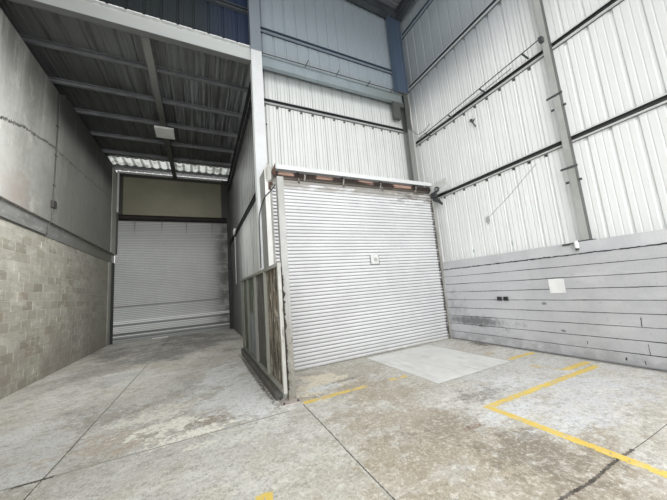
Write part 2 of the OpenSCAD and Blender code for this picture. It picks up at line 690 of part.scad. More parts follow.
floor_slab_hall();
floor_slab_lane();
floor_patch();
left_block_wall();
left_ring_beam();
left_upper_wall();
left_high_sheeting();
left_high_girts();
left_columns();
lane_wall_fascia();
right_block_wall();
right_ring_beam();
right_sheeting();
right_girts();
column_right_front();
column_right_mid();
column_corner();
column_centre();
tie_beam();
lane_eaves_beam();
end_wall_sheeting();
end_wall_girts();
high_wall_sheeting();
high_wall_girts();
rafter_front();
rafter_mid();
rafter_end();
hall_purlins();
eaves_beams();
hall_roof_left();
hall_roof_right();
ridge_cap();
lane_side_sheeting();
lane_side_girts();
lane_rafter();
lane_purlins();
lane_roof_sheeting();
lane_end_panel();
lane_end_frame();
far_shutter_post();
far_shutter_curtain();
far_shutter_barrel();
far_shutter_guides();
lane_lamp();
near_shutter_curtain();
near_shutter_barrel();
near_shutter_jamb();
near_shutter_guides();
near_shutter_hood();
near_shutter_end_plates();
guard_post();
guard_screen_frame();
guard_screen_sheets();
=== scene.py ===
"""Loading end of a factory: a tall sheeted hall, a lower lane beside it and two slatted roller shutters."""
import math

import bmesh
import bpy
import numpy as np
from mathutils import Matrix, Vector


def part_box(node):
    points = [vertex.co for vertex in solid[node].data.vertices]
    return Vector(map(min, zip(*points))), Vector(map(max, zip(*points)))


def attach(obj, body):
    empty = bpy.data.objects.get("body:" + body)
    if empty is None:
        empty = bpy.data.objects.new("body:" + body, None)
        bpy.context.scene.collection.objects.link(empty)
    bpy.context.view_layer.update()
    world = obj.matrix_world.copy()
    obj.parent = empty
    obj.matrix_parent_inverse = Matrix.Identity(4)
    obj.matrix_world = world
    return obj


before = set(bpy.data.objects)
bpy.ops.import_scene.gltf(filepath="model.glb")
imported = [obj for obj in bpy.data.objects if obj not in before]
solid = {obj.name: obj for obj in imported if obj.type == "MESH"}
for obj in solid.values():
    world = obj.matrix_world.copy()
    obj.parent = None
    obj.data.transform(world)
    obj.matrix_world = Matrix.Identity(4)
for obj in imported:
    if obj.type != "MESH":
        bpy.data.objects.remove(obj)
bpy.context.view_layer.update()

# Camera.
# It stands just inside the open front, 1.55 m above the floor, and looks past the central column.
# The photograph was taken with a very wide lens that was held a little off level.
CAMERA_AT = (-1.275, -6.70, 1.70)
YAW, PITCH, ROLL = (math.radians(angle) for angle in (26.01, 7.80, -4.65))
SENSOR_MM, FOCAL_PX, PHOTO_PX = 36, 277, 667


def enter(name, data):
    """Puts a camera, a lamp or a mesh into the scene as an object."""
    made = bpy.data.objects.new(name, data)
    bpy.context.scene.collection.objects.link(made)
    return made


forward = Vector((math.sin(YAW)*math.cos(PITCH), math.cos(YAW)*math.cos(PITCH), math.sin(PITCH)))
level_right = Vector((math.cos(YAW), -math.sin(YAW), 0))
level_up = level_right.cross(forward)
camera_right = level_right*math.cos(ROLL) + level_up*math.sin(ROLL)
camera_up = -level_right*math.sin(ROLL) + level_up*math.cos(ROLL)
lens = bpy.data.cameras.new("camera")
lens.sensor_width = SENSOR_MM
lens.lens = SENSOR_MM*FOCAL_PX/PHOTO_PX
lens.clip_start = 0.02
camera = enter("camera", lens)
camera.matrix_world = (Matrix.Translation(CAMERA_AT)
                       @ Matrix((camera_right, camera_up, -forward)).transposed().to_4x4())
bpy.context.scene.camera = camera
bpy.context.scene.view_settings.view_transform = "Standard"

# Light.
# Daylight comes in at the open front, low and broad, and from the front of the lane down its left wall.
# The roofs let in little. Three soft lights stand round the outside, and none shows to the camera.
LAMPS = {  # place, aim, size, watts, spread in degrees
    "front_daylight": ((0.2, -8.7, 2.7), (0.2, 0.0, 2.4), (9.0, 4.8), 420, 180),
    "upper_daylight": ((-2.2, -8.6, 5.6), (4.9, -2.2, 4.8), (6.5, 4.5), 215, 130),
    "roof_daylight": ((1.6, -4.6, 9.4), (1.6, -4.6, 0.0), (5.5, 6.0), 60, 180),
    "lane_light": ((-2.3, 3.6, 7.0), (-2.3, 3.6, 0.0), (3.4, 6.5), 50, 180),
    "lane_mouth_light": ((-1.4, -3.0, 5.4), (-4.6, 1.2, 3.2), (2.6, 2.6), 112, 95),
    "lane_side_light": ((-3.9, 2.8, 4.6), (0.1, 2.8, 4.4), (2.0, 3.0), 40, 100),
    "left_studio": ((-17, 0, 7), (0, 0, 4), (10, 14), 900, 180),
    "right_studio": ((17, 0, 7), (0, 0, 4), (10, 14), 900, 180),
    "back_studio": ((0, 20, 7), (0, 0, 3.5), (12, 10), 900, 180),
}
for name, (place, aim, size, watts, spread) in LAMPS.items():
    lamp = bpy.data.lights.new(name, "AREA")
    lamp.shape = "RECTANGLE"
    lamp.size, lamp.size_y = size
    lamp.energy = watts
    lamp.spread = math.radians(spread)
    holder = enter(name, lamp)
    holder.location = place
    holder.rotation_euler = (Vector(aim) - Vector(place)).to_track_quat("-Z", "Y").to_euler()
    holder.visible_camera = False


def linear(code):
    """An sRGB hex colour as linear light: below 4 % divided by 12.92, above that a 2.4 power."""
    srgb = np.array([int(code[i:i + 2], 16) for i in (0, 2, 4)])/255
    light = np.where(srgb > 0.04045, ((srgb + 0.055)/1.055)**2.4, srgb/12.92)
    return (*light.tolist(), 1.0)


def add(tree, kind, feeds=None, **settings):
    """Adds one node. Settings are its properties, and feeds gives its sockets numbers, colours or links."""
    made = tree.nodes.new("ShaderNode" + kind)
    for name, value in settings.items():
        setattr(made, name, value)
    for name, value in (feeds or {}).items():
        if isinstance(value, bpy.types.Node):
            value = value.outputs[0]
        if isinstance(value, bpy.types.NodeSocket):
            tree.links.new(value, made.inputs[name])
        else:
            made.inputs[name].default_value = value
    return made


def seen(tree):
    """1 for rays that the camera, a reflection or glass sends out, and 0 for the light that lands on things."""
    path = add(tree, "LightPath")
    either = add(tree, "Math", {0: path.outputs["Is Camera Ray"], 1: path.outputs["Is Glossy Ray"]},
                 operation="MAXIMUM")
    return add(tree, "Math", {0: either, 1: path.outputs["Is Transmission Ray"]}, operation="MAXIMUM")


sky = bpy.data.worlds.new("sky")
bpy.context.scene.world = sky
sky.use_nodes = True
background = sky.node_tree.nodes["Background"]
sky_shade = add(sky.node_tree, "MapRange", {"Value": seen(sky.node_tree), "To Min": 0.6, "To Max": 1.0})
sky.node_tree.links.new(sky_shade.outputs[0], background.inputs["Strength"])
background.inputs["Color"].default_value = (1, 1, 1, 1)

# Floor.
# Two slabs of ground-bearing concrete, power floated and worn by traffic, with dust and oil trodden in.
# A square in front of the near shutter was cut out and cast again in paler concrete.
FLOOR_Z = 0.15
ANY = 99.0      # half axis of a stain along which it has no end


def blotches(size_mm, low, high, drawn=(1, 1, 1), detail=4.0, torn=0.65, turn=0.0):
    """A mask of cloudy patches about size_mm across, longer along an axis whose number in drawn is below 1:
    fractal noise that goes smoothly from 0 at low to 1 at high. Turn swings the pattern round Z."""
    def mask(tree, place):
        laid = add(tree, "Mapping", {"Vector": place, "Rotation": (0, 0, turn), "Scale": drawn})
        noise = add(tree, "TexNoise", {"Vector": laid, "Scale": 1000/size_mm, "Detail": detail, "Roughness": torn})
        return add(tree, "MapRange", {"Value": noise, "From Min": low, "From Max": high},
                   interpolation_type="SMOOTHSTEP")
    return mask


def rise(axis, low, high):
    """A mask that goes smoothly from 0 at the level low of one axis to 1 at the level high."""
    def mask(tree, place):
        level = add(tree, "SeparateXYZ", {0: place}).outputs[axis]
        return add(tree, "MapRange", {"Value": level, "From Min": low, "From Max": high},
                   interpolation_type="SMOOTHSTEP")
    return mask


def stain(centre, reach, edge=0.5, torn=4.0, torn_mm=200):
    """A mask that fills an ellipsoid with half axes reach and fades out at its rim, which noise tears:
    1 less the smooth step of the length of (p - centre)/reach plus torn times the noise."""
    def mask(tree, place):
        apart = add(tree, "VectorMath", {0: place, 1: centre}, operation="SUBTRACT")
        apart = add(tree, "VectorMath", {0: apart, 1: reach}, operation="DIVIDE")
        apart = add(tree, "VectorMath", {0: apart}, operation="LENGTH").outputs["Value"]
        noise = add(tree, "TexNoise", {"Vector": place, "Scale": 1000/torn_mm, "Detail": 8, "Roughness": 0.75})
        apart = add(tree, "Math", {0: noise, 1: torn, 2: apart}, operation="MULTIPLY_ADD")
        return add(tree, "MapRange", {"Value": apart, "From Min": 1 + torn/2, "From Max": 1 + torn/2 - edge},
                   interpolation_type="SMOOTHSTEP")
    return mask


def coat(tree, place, colour, tone, *masks):
    """Lays a tone over a colour where the masks, multiplied together, are 1. A mask may be a number."""
    part = None
    for mask in masks:
        mask = mask(tree, place) if callable(mask) else mask
        part = mask if part is None else add(tree, "Math", {0: part, 1: mask}, operation="MULTIPLY")
    return add(tree, "MixRGB", {"Fac": part, "Color1": colour,
                                "Color2": linear(tone) if isinstance(tone, str) else tone})


def wear(tree, place, colour, marks):
    """Lays marks over a colour, one after the other. Each is a tone and its masks, or a function that does
    the same in a way of its own."""
    for mark in marks:
        colour = mark(tree, place, colour) if callable(mark) else coat(tree, place, colour, *mark)
    return colour


def blank(name):
    """A new material, with its node tree and its shader."""
    material = bpy.data.materials.new(name)
    material.use_nodes = True
    return material, material.node_tree, material.node_tree.nodes["Principled BSDF"]


def aged(name, base, tint, tint_mm=500, grain_mm=10, grain=0.2, run_mm=60, run=0.0, drawn=0.04, dirt="6f6a5e",
         foot=0.0, foot_m=0.5, rust=0.0, rust_mm=90, rough=0.5, bump_mm=0.4, marks=()):
    """An aged surface: two tones in blotches, grain, dirt run down it, marks, dirt at its foot, and rust."""
    material, tree, shader = blank(name)
    place = add(tree, "TexCoord").outputs["Object"]
    colour = coat(tree, place, linear(base), tint, blotches(tint_mm, 0.36, 0.64, detail=5))
    fine = add(tree, "TexNoise", {"Vector": place, "Scale": 1000/grain_mm, "Detail": 2, "Roughness": 0.55})
    colour = add(tree, "MixRGB", {"Fac": grain, "Color1": colour, "Color2": fine}, blend_type="OVERLAY")
    if run:
        marks = [(dirt, blotches(run_mm, 0.5, 0.78, drawn=(1, 1, drawn)), run), *marks]
    if foot:
        marks = [*marks, (dirt, rise("Z", FLOOR_Z + foot_m, FLOOR_Z), blotches(160, 0.25, 0.6), foot)]
    colour = wear(tree, place, colour, marks)
    if rust:
        powder = coat(tree, place, linear("8a4f2b"), "4c3226", blotches(25, 0.3, 0.7))
        colour = coat(tree, place, colour, powder, blotches(rust_mm, 0.74 - 0.26*rust, 0.79 - 0.26*rust, detail=6))
    gloss = add(tree, "MapRange", {"Value": fine, "From Min": 0.3, "From Max": 0.7,
                                   "To Min": max(rough - 0.08, 0.05), "To Max": min(rough + 0.08, 1)})
    tree.links.new(colour.outputs[0], shader.inputs["Base Color"])
    tree.links.new(gloss.outputs[0], shader.inputs["Roughness"])
    if bump_mm:
        relief = add(tree, "Bump", {"Height": fine, "Strength": 0.6, "Distance": bump_mm/1000})
        tree.links.new(relief.outputs[0], shader.inputs["Normal"])
    return material


def dress(material, *names):
    """Gives CAD nodes their material."""
    for node_name in names:
        mesh = solid[node_name].data
        mesh.materials.clear()
        mesh.materials.append(material)


SWIRLS = (  # size in mm, noise levels, drawn out along X, tone, strength
    (2200, 0.45, 0.60, 1.0, "c0bbaa", 0.5), (700, 0.50, 0.60, 0.5, "e4e4e2", 0.45),
    (420, 0.52, 0.60, 0.7, "aba394", 0.45), (260, 0.54, 0.60, 0.5, "eeeee9", 0.4),
    (150, 0.55, 0.61, 0.6, "8f897d", 0.4))
CRUMBS = (  # the same, laid over the spots
    (120, 0.54, 0.61, 0.6, "88806f", 0.3), (80, 0.55, 0.61, 0.8, "f4f2ea", 0.38),
    (60, 0.56, 0.61, 1.0, "756e61", 0.42), (34, 0.53, 0.58, 1.0, "f3efe4", 0.36),
    (28, 0.54, 0.58, 1.0, "6d6558", 0.36), (24, 0.61, 0.64, 1.0, "fbfaf4", 0.8),
    (20, 0.61, 0.64, 1.0, "5e5950", 0.7))
SPOTS_AND_SHADE = (  # of lime, oil, damp and soot, and painted shade and shadows: x, y, half axes in x and y, tone, strength
    (0.9, -4.6, 1.0, 3.2, "a79b84", 0.75), (0.9, -6.0, 1.0, 1.6, "a3988c", 0.45),
    (0.35, -5.1, 0.9, 0.9, "aea28c", 0.6), (3.3, -7.2, 2.2, 1.6, "b0a596", 0.7),
    # The second spot here and the first on the next line are painted shade over the far lane.
    (1.0, -1.95, 1.1, 0.65, "ab9f8b", 0.65), (-2.3, 5.4, 3.0, 4.9, "787774", 0.92),
    (-3.4, 2.4, 1.5, 2.4, "8b8a87", 0.6), (-4.5, -1.9, 0.9, 1.9, "a6a5a2", 0.45),
    (-1.4, -5.0, 1.5, 2.0, "cfcfbe", 0.5), (3.3, -4.75, 1.5, 0.62, "d3d4d7", 0.75),
    (3.2, -3.65, 1.4, 0.5, "cecfd0", 0.6), (2.1, -3.95, 0.5, 0.2, "6a675f", 0.6),
    (1.9, -4.48, 0.45, 0.16, "dfe2e5", 0.7), (1.95, -4.95, 0.35, 0.2, "dfe2e4", 0.65),
    (1.33, -5.0, 0.45, 0.5, "7f7768", 0.65), (1.1, -4.3, 0.5, 0.3, "8a8070", 0.5),
    (0.35, -2.1, 0.8, 0.75, "efe6cf", 0.8), (2.65, -3.9, 0.4, 0.3, "e3e6e8", 0.6),
    (-0.85, -0.2, 0.5, 1.0, "f0f2f2", 0.8), (-3.3, -1.9, 1.1, 1.3, "e4e6e8", 0.6),
    (-2.6, 0.9, 0.7, 0.9, "dcdedc", 0.5), (-2.3, -2.4, 0.5, 0.36, "cbbcab", 0.7),
    (-2.5, -1.45, 0.55, 0.28, "a49b8d", 0.65), (-1.15, -2.5, 0.45, 0.2, "998a77", 0.75),
    (-1.66, -2.35, 0.42, 0.26, "fffef2", 1.0), (-1.38, -2.78, 0.45, 0.16, "fffef2", 1.0),
    (-1.95, -1.92, 0.55, 0.22, "faf9ee", 0.85), (-1.3, -3.12, 0.2, 0.07, "fdfcee", 0.7),
    (-1.7, -1.66, 0.5, 0.2, "f7f6ea", 0.75), (-0.75, -1.6, 0.6, 1.3, "f2f4f4", 0.9),
    (-0.55, -2.45, 0.36, 0.36, "f6f8f8", 0.85), (-0.9, -3.1, 0.6, 0.22, "e8e8e0", 0.6),
    (0.5, -2.37, 0.4, 0.12, "dbe2e8", 0.7), (1.26, -4.45, 0.15, 0.05, "7d5a48", 0.6),
    (4.52, -2.1, 0.14, 0.32, "4a443c", 0.8), (3.9, -2.77, 0.14, 0.07, "c9a468", 0.5),
    # The second spot here is a painted shadow along the foot of the kerb.
    (0.9, -2.26, 0.42, 0.08, "6e6a61", 0.65), (-0.35, -0.6, 0.055, 2.2, "45433f", 0.9),
    # The second spot here and the last one are painted shadows at the feet of the right wall and the near shutter.
    (0.0, -2.6, 0.35, 0.12, "85796a", 0.6), (4.62, -4.6, 0.05, 4.0, "7e7d7a", 0.7),
    (2.3, -1.19, 2.4, 0.05, "6b675e", 0.8))


def swirl(size_mm, low, high, drawn, tone, strength):
    """A row of SWIRLS as a mark."""
    return tone, strength, blotches(size_mm, low, high, (drawn, 1, 1), 9, 0.75, 0.15)


def spot(x, y, half_x, half_y, tone, strength):
    """A row of SPOTS_AND_SHADE as a mark. The narrower it is, the sharper and the less torn is its rim."""
    least = min(half_x, half_y)
    return tone, strength, stain((x, y, FLOOR_Z), (half_x, half_y, ANY), min(0.9, 0.35 + 0.4*least),
                                 min(6, 1 + 40*least), 700*least)


# Worn concrete: dull, nearly white where lime was spilt, and speckled with crumbs and grit of 30 mm.
dress(aged("worn_concrete", "d3d2cd", "c8c5bd", tint_mm=1300, grain_mm=14, rough=0.62, bump_mm=0.8,
           marks=[swirl(*row) for row in SWIRLS] + [spot(*row) for row in SPOTS_AND_SHADE] + [swirl(*row) for row in CRUMBS]),
      "floor_slab_hall", "floor_slab_lane")
# Recast concrete: younger, paler and smooth, with grey tyre scuffs drawn out across it and pale trowel marks.
dress(aged("recast_concrete", "e6e7e3", "dadad5", grain_mm=12, rough=0.6, bump_mm=0.5, marks=[
    ("b9b8b2", blotches(150, 0.52, 0.7, (1, 0.25, 1), turn=0.5), 0.5),
    ("eeeeea", blotches(90, 0.55, 0.7, (0.4, 1, 1), turn=0.3), 0.5)]), "floor_patch")


# Joints and paint on the floor.
# The slab was cast in bays, whose joints have opened and filled with dirt. Yellow lines of road paint mark
# the parking bays, rolled on by hand and worn through to the concrete.
def seal(piece):
    """Joins the edges of a closed shape and points its faces outwards."""
    shape = bmesh.new()
    shape.from_mesh(piece.data)
    bmesh.ops.remove_doubles(shape, verts=shape.verts, dist=1e-5)
    bmesh.ops.recalc_face_normals(shape, faces=shape.faces)
    shape.to_mesh(piece.data)
    shape.free()


def put(name, grids, material, tone=None, close=False):
    """One mesh from grids of points, each an array (..., rows, columns, 3). Every four neighbours make a
    face that looks along columns x rows. Tone is one number a grid, kept as an attribute."""
    points, faces, tones, start = [], [], [], 0
    for index, grid in enumerate(grids):
        grid = np.asarray(grid, float)
        grid = grid.reshape(-1, *grid.shape[-3:])
        count, rows, cols = grid.shape[:3]
        numbers = start + np.arange(count*rows*cols).reshape(count, rows, cols)
        faces.append(np.stack([numbers[:, :-1, :-1], numbers[:, :-1, 1:], numbers[:, 1:, 1:],
                               numbers[:, 1:, :-1]], -1).reshape(-1, 4))
        points.append(grid.reshape(-1, 3))
        if tone is not None:
            tones.append(np.repeat(np.broadcast_to(tone[index], (count,)), rows*cols))
        start += count*rows*cols
    mesh = bpy.data.meshes.new(name)
    mesh.from_pydata(np.concatenate(points).tolist(), [], np.concatenate(faces).tolist())
    if tone is not None:
        mesh.attributes.new("tone", "FLOAT", "POINT").data.foreach_set(
            "value", np.concatenate(tones).astype(np.float32))
    mesh.materials.append(material)
    piece = enter(name, mesh)
    if close:
        seal(piece)
    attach(piece, "root")


def ribbon(a, b, width, normal, ragged, step_m, seed, wander=0.0, lift=0.0012):
    """A flat strip from a to b on a surface: the straight line, plus noise on both edges and a slow drift."""
    rng = np.random.default_rng(seed)
    a, b, normal = (np.array(v, float) for v in (a, b, normal))
    run = np.linalg.norm(b - a)
    count = max(int(run/step_m), 3)
    along = (b - a)/run
    side = np.cross(normal, along)
    t = np.linspace(0, run, count + 1)
    bends = np.linspace(0, run, max(int(run/0.35), 2) + 1)
    drift = np.interp(t, bends, rng.normal(0, wander, len(bends)))
    edges = [s*width/2*(1 + rng.normal(0, ragged, count + 1)) + drift for s in (1, -1)]
    return np.stack([a + t[:, None]*along + e[:, None]*side + lift*normal for e in edges], 1)


UP, LEFT, RIGHT, FRONT = (0, 0, 1), (-1, 0, 0), (1, 0, 0), (0, -1, 0)
JOINTS = [  # both ends and the width; the first three have crumbled edges
    ((-0.02, -2.78), (-0.06, -8.12), 0.013), ((-2.5, 3.0), (-2.74, -8.12), 0.012),
    ((-4.6, -2.9), (-0.25, -2.88), 0.008), ((0.9, -5.42), (2.0, -5.43), 0.024),
    ((0.0, -5.42), (0.9, -5.42), 0.008), ((2.0, -5.43), (4.62, -5.45), 0.006),
    ((-4.6, 5.6), (-0.3, 5.62), 0.010), ((-2.5, 3.0), (-2.5, 7.9), 0.010), ((-2.85, -2.9), (-2.55, -2.89), 0.03)]
patch_low, patch_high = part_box("floor_patch")
rim = [(patch_low[0], patch_low[1]), (patch_high[0], patch_low[1]), (patch_high[0], patch_high[1]),
       (patch_low[0], patch_high[1])]
JOINTS += [(rim[i], rim[(i + 1) % 4], 0.008) for i in range(4)]
# Joint dirt: packed grit and oil, darker than the slab and quite dull.
put("floor_joints", [ribbon((*a, FLOOR_Z), (*b, FLOOR_Z), w, UP, 0.3, 0.009, i, 0.005)
                     for i, (a, b, w) in enumerate(JOINTS)],
    aged("joint_dirt", "4b463f", "77716a", tint_mm=120, grain_mm=9, grain=0.4, rough=0.9))
# Crumbled concrete: the slab's edges beside the joints are pale and rough.
put("floor_joint_edges", [ribbon((*a, FLOOR_Z), (*b, FLOOR_Z), 3.2*w, UP, 0.25, 0.02, 20 + i, 0.004, 0.0006)
                          for i, (a, b, w) in enumerate(JOINTS[:3])],
    aged("crumbled_concrete", "d8d6cd", "b4b1a6", tint_mm=60, grain_mm=12, grain=0.4, rough=0.9))

PAINTED = [  # both ends, the width and how much is worn away
    ((1.86, -4.25), (4.42, -4.29), 0.10, 0.28), ((1.80, -4.21), (1.76, -8.10), 0.10, 0.26),
    ((3.83, -4.10), (4.50, -4.12), 0.11, 0.24), ((3.80, -3.24), (4.54, -3.25), 0.11, 0.26),
    ((3.66, -3.58), (3.86, -4.10), 0.09, 0.60), ((0.0, -2.75), (1.05, -2.74), 0.12, 0.36),
    ((1.46, -2.75), (1.82, -2.76), 0.11, 0.44), ((-0.92, -4.26), (-0.79, -4.29), 0.10, 0.35)]
PAINT_CELL = 0.011


def paint_strip(a, b, width, worn, seed):
    """Small cells of paint in a strip; a cell is dropped where smooth noise says that the paint is gone."""
    rng = np.random.default_rng(seed)
    a, b = np.array(a), np.array(b)
    run = np.linalg.norm(b - a)
    n, m = int(run/PAINT_CELL), int(width/PAINT_CELL)
    rough = rng.random((n//5 + 2, m//3 + 2))
    i, j = np.meshgrid(np.arange(n), np.arange(m), indexing="ij")
    x, y = i/5, j/3
    x0, y0 = x.astype(int), y.astype(int)
    fx, fy = x - x0, y - y0
    smooth = ((rough[x0, y0]*(1 - fx) + rough[x0 + 1, y0]*fx)*(1 - fy)
              + (rough[x0, y0 + 1]*(1 - fx) + rough[x0 + 1, y0 + 1]*fx)*fy)
    outer = np.minimum(j, m - 1 - j) < 1
    kept = (0.65*smooth + 0.35*rng.random((n, m)) - 0.1*outer) > worn
    along = (b - a)/run
    side = np.array([-along[1], along[0]])
    corner = a + (i[kept]*PAINT_CELL)[:, None]*along + ((j[kept] - m/2)*PAINT_CELL)[:, None]*side
    quad = np.stack([np.stack([corner + PAINT_CELL*side, corner], 1),
                     np.stack([corner + PAINT_CELL*side + PAINT_CELL*along, corner + PAINT_CELL*along], 1)], 1)
    return np.concatenate([quad, np.full((*quad.shape[:-1], 1), FLOOR_Z + 0.0016)], -1)


# Road paint: a thin dull film, broken at its edges, rubbed through by wheels and greyed by dust in patches.
put("floor_paint_lines", [paint_strip(*strip, seed=40 + i) for i, strip in enumerate(PAINTED)],
    aged("road_marking_paint", "edd06a", "e6c65e", tint_mm=300, grain_mm=9, grain=0.3, rough=0.55, bump_mm=0.3,
         marks=[("d8cfa8", blotches(60, 0.5, 0.6, detail=7, torn=0.7), 0.6)]))


# Left wall.
# The bottom is bare concrete blockwork, 400 by 200 mm in running bond, with mortar smeared over it.
# A ring beam cast in place lies on it, and above that the wall is rendered and stands proud.
COURSE, BLOCK, BED = 0.2, 0.4, 0.009
ARRIS = 0.003      # the slope round a block's face
PROUD, PAINTED_PROUD = 0.004, 0.006      # how far bare and painted blocks stand out of their joints


def blockwork(face_x, y0, y1, z0, top, courses, facing, seed):
    """Block faces as raised pads: each pad is a 4 by 4 grid whose rim lies in the wall's face and whose
    middle stands proud. Facing is +1 for a wall seen from +x."""
    rng = np.random.default_rng(seed)
    lows, highs, floors = [], [], []
    for course in range(courses):
        starts = np.arange(y0 - (0.5*BLOCK if course % 2 else 0), y1, BLOCK)
        lows.append(np.maximum(starts, y0))
        highs.append(np.minimum(starts + BLOCK, y1))
        floors.append(np.full(len(starts), z0 + course*COURSE))
    low, high, base = (np.concatenate(part) for part in (lows, highs, floors))
    wide = high - low > 0.05
    low, high, base = low[wide] + BED/2, high[wide] - BED/2, base[wide] + BED/2
    upper = np.minimum(base + COURSE - BED, top)
    rise_x = PROUD + rng.normal(0, 0.0012, len(low))
    ys = np.stack([low, low + ARRIS, high - ARRIS, high], 1)[:, ::facing]
    zs = np.stack([base, base + ARRIS, upper - ARRIS, upper], 1)
    lift = np.zeros((4, 4))
    lift[1:3, 1:3] = 1
    pad = np.empty((len(low), 4, 4, 3))
    pad[..., 0] = face_x + facing*rise_x[:, None, None]*lift
    pad[..., 1] = ys[:, None, :]
    pad[..., 2] = zs[:, :, None]
    return pad, rng.random(len(low))


def block_tones(tree, place, colour):
    """Each block takes its own tone from the attribute, through a row of colours."""
    tone = add(tree, "Attribute", attribute_name="tone").outputs["Fac"]
    ramp = add(tree, "ValToRGB", {"Fac": tone})
    ramp.color_ramp.interpolation = "CONSTANT"
    tones = ((0.0, "ffffff"), (0.3, "ecebe6"), (0.62, "f8f7f4"), (0.84, "d6d4cc"), (0.93, "e4dcd4"))
    while len(ramp.color_ramp.elements) < len(tones):
        ramp.color_ramp.elements.new(0.5)
    for element, (at, code) in zip(ramp.color_ramp.elements, tones):
        element.position, element.color = at, linear(code)
    return add(tree, "MixRGB", {"Fac": 0.9, "Color1": colour, "Color2": ramp}, blend_type="MULTIPLY")


# Mortar wiped along the courses over blocks and joints, pink dust low down, and painted shade deepening to the back.
SMEARED_AND_SHADED = [("c6c4b8", blotches(260, 0.50, 0.60, (1, 0.35, 1), 8, 0.75), 0.65),
           ("8f8c82", blotches(60, 0.56, 0.62, (1, 0.5, 1), 8, 0.7), 0.45),
           ("8d837b", rise("Z", 1.8, 0.4), blotches(900, 0.38, 0.58), 0.65), ("85857a", rise("Y", 2.0, 7.5), 0.75)]
# Concrete block: open grain and a dry, dull face. Its mortar is a little paler and as rough.
block_face = aged("concrete_block", "b6b3a8", "aaa79b", grain=0.35, run_mm=120, run=0.2, dirt="7b766a", foot=0.3,
                  foot_m=0.6, rough=0.92, bump_mm=1.5, marks=[block_tones, *SMEARED_AND_SHADED])
dress(aged("block_mortar", "c6c4b8", "b5b3a6", tint_mm=300, grain_mm=9, grain=0.35, rough=0.95, bump_mm=1.5,
           marks=SMEARED_AND_SHADED), "left_block_wall")
wall_low, wall_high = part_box("left_block_wall")
sides = [blockwork(x, wall_low[1] + 0.002, wall_high[1] - 0.002, wall_low[2], wall_high[2] - 0.002, 17, facing,
                   seed) for x, facing, seed in ((wall_high[0], 1, 3), (wall_low[0], -1, 4))]
put("left_wall_blocks", [pads for pads, tones in sides], block_face,
    tone=[tones for pads, tones in sides])
# Cast concrete: grey and dense, with level marks of its boards, damp under its top edge,
# and painted shade that deepens to the back.
dress(aged("cast_ring_beam", "8b8c89", "7b7c79", tint_mm=700, grain_mm=12, grain=0.3, rough=0.85, bump_mm=1.0, marks=[
    ("71726e", blotches(260, 0.46, 0.64, (1, 0.12, 3), detail=5), 0.55),
    ("aeada5", blotches(130, 0.55, 0.68, (1, 0.5, 1)), 0.5), ("6b6a5f", rise("Y", 1.5, 6.5), 0.75)]),
      "left_ring_beam")
# Cement render: matt and cloudy, floated by hand over the blocks above the ring beam. Its trowel clouds come
# first, then a pink stain, painted light at the front, painted shade to the back, soot runs with painted shade
# towards the top, and a painted shadow under the fascia.
dress(aged("cement_render", "b5b5b0", "a3a39d", tint_mm=1400, grain=0.25, run_mm=150, run=0.2, dirt="77756e",
           rough=0.9, bump_mm=1.0, marks=[
    ("94948d", blotches(700, 0.48, 0.60, detail=8, torn=0.72), 0.55),
    ("d2d1ca", blotches(300, 0.53, 0.62, (1, 1, 0.5), 8, 0.72), 0.5),
    ("8c8a84", blotches(110, 0.55, 0.62, (1, 1, 0.6), 8, 0.72), 0.4),
    ("a0948a", 0.6, stain((-4.55, 0.75, 4.15), (ANY, 0.75, 0.5))),
    ("e4e4e0", rise("Y", 1.0, -0.8), 0.7), ("6e6f68", rise("Y", 0.0, 3.4), 0.87),
    ("50504b", rise("Z", 5.0, 7.4), blotches(420, 0.3, 0.55, (1, 1, 0.09), detail=6), 0.7),
    ("2e2e2b", rise("Z", 6.2, 7.0), rise("Y", 1.3, 2.6), 0.85)]), "left_upper_wall")
render_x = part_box("left_upper_wall")[1][0]
SEAM = [(-0.4, 5.12), (0.3, 5.38), (0.9, 5.58), (1.69, 5.70), (2.57, 5.80), (4.2, 5.88), (5.6, 6.00), (7.5, 6.14)]
# Joint dirt again, dark grey: a wavering cold joint along the render, and upright ones between its panels.
put("render_seams", [ribbon((render_x, *a), (render_x, *b), 0.055, RIGHT, 0.5, 0.02, 60 + i, 0.012)
                     for i, (a, b) in enumerate(zip(SEAM, SEAM[1:]))]
    + [ribbon((render_x, y, 3.88), (render_x, y, 7.3), 0.012, RIGHT, 0.5, 0.05, 70 + i, 0.01)
       for i, y in enumerate((3.35, 5.2))],
    aged("render_seam_dirt", "4b4b46", "74746d", tint_mm=90, grain_mm=9, grain=0.3, rough=0.9))


# Fittings on the left wall.
# A grey plastic conduit runs along the foot of the ring beam, climbs the render and passes a small box.
# At the back corner a pale trim covers the joint between the wall and the far shutter's guide.
DISC_SIDES, TUBE_SIDES = 16, 8      # corners of a round outline and of a round bar


def plate(outline, axis, low, high, edge=0.002):
    """An outline of points in the plane across an axis, carried along that axis from low to high. At both
    ends the loop is drawn in towards its middle by the edge, and then closed in one point."""
    outline = np.asarray(outline, float)
    middle = outline.mean(0)
    reach = np.linalg.norm(outline - middle, axis=1, keepdims=True)
    drawn = middle + (outline - middle)*(1 - edge/reach)
    loops = np.stack([middle + 0*outline, drawn, outline, outline, drawn, middle + 0*outline])
    levels = np.array([low, low, low + edge, high - edge, high, high])
    solid_loops = np.concatenate([loops, np.broadcast_to(levels[:, None, None], (*loops.shape[:2], 1))], -1)
    solid_loops = np.concatenate([solid_loops, solid_loops[:, :1]], 1)
    return solid_loops[..., {"X": (2, 0, 1), "Y": (0, 2, 1)}[axis]]


def rect(a0, b0, a1, b1):
    """Outline of a rectangle with corners (a0, b0) and (a1, b1)."""
    return [(a0, b0), (a1, b0), (a1, b1), (a0, b1)]


def disc(a, b, radius):
    """Outline of a circle."""
    turn = np.arange(DISC_SIDES)*2*math.pi/DISC_SIDES
    return np.stack([a + radius*np.cos(turn), b + radius*np.sin(turn)], 1)


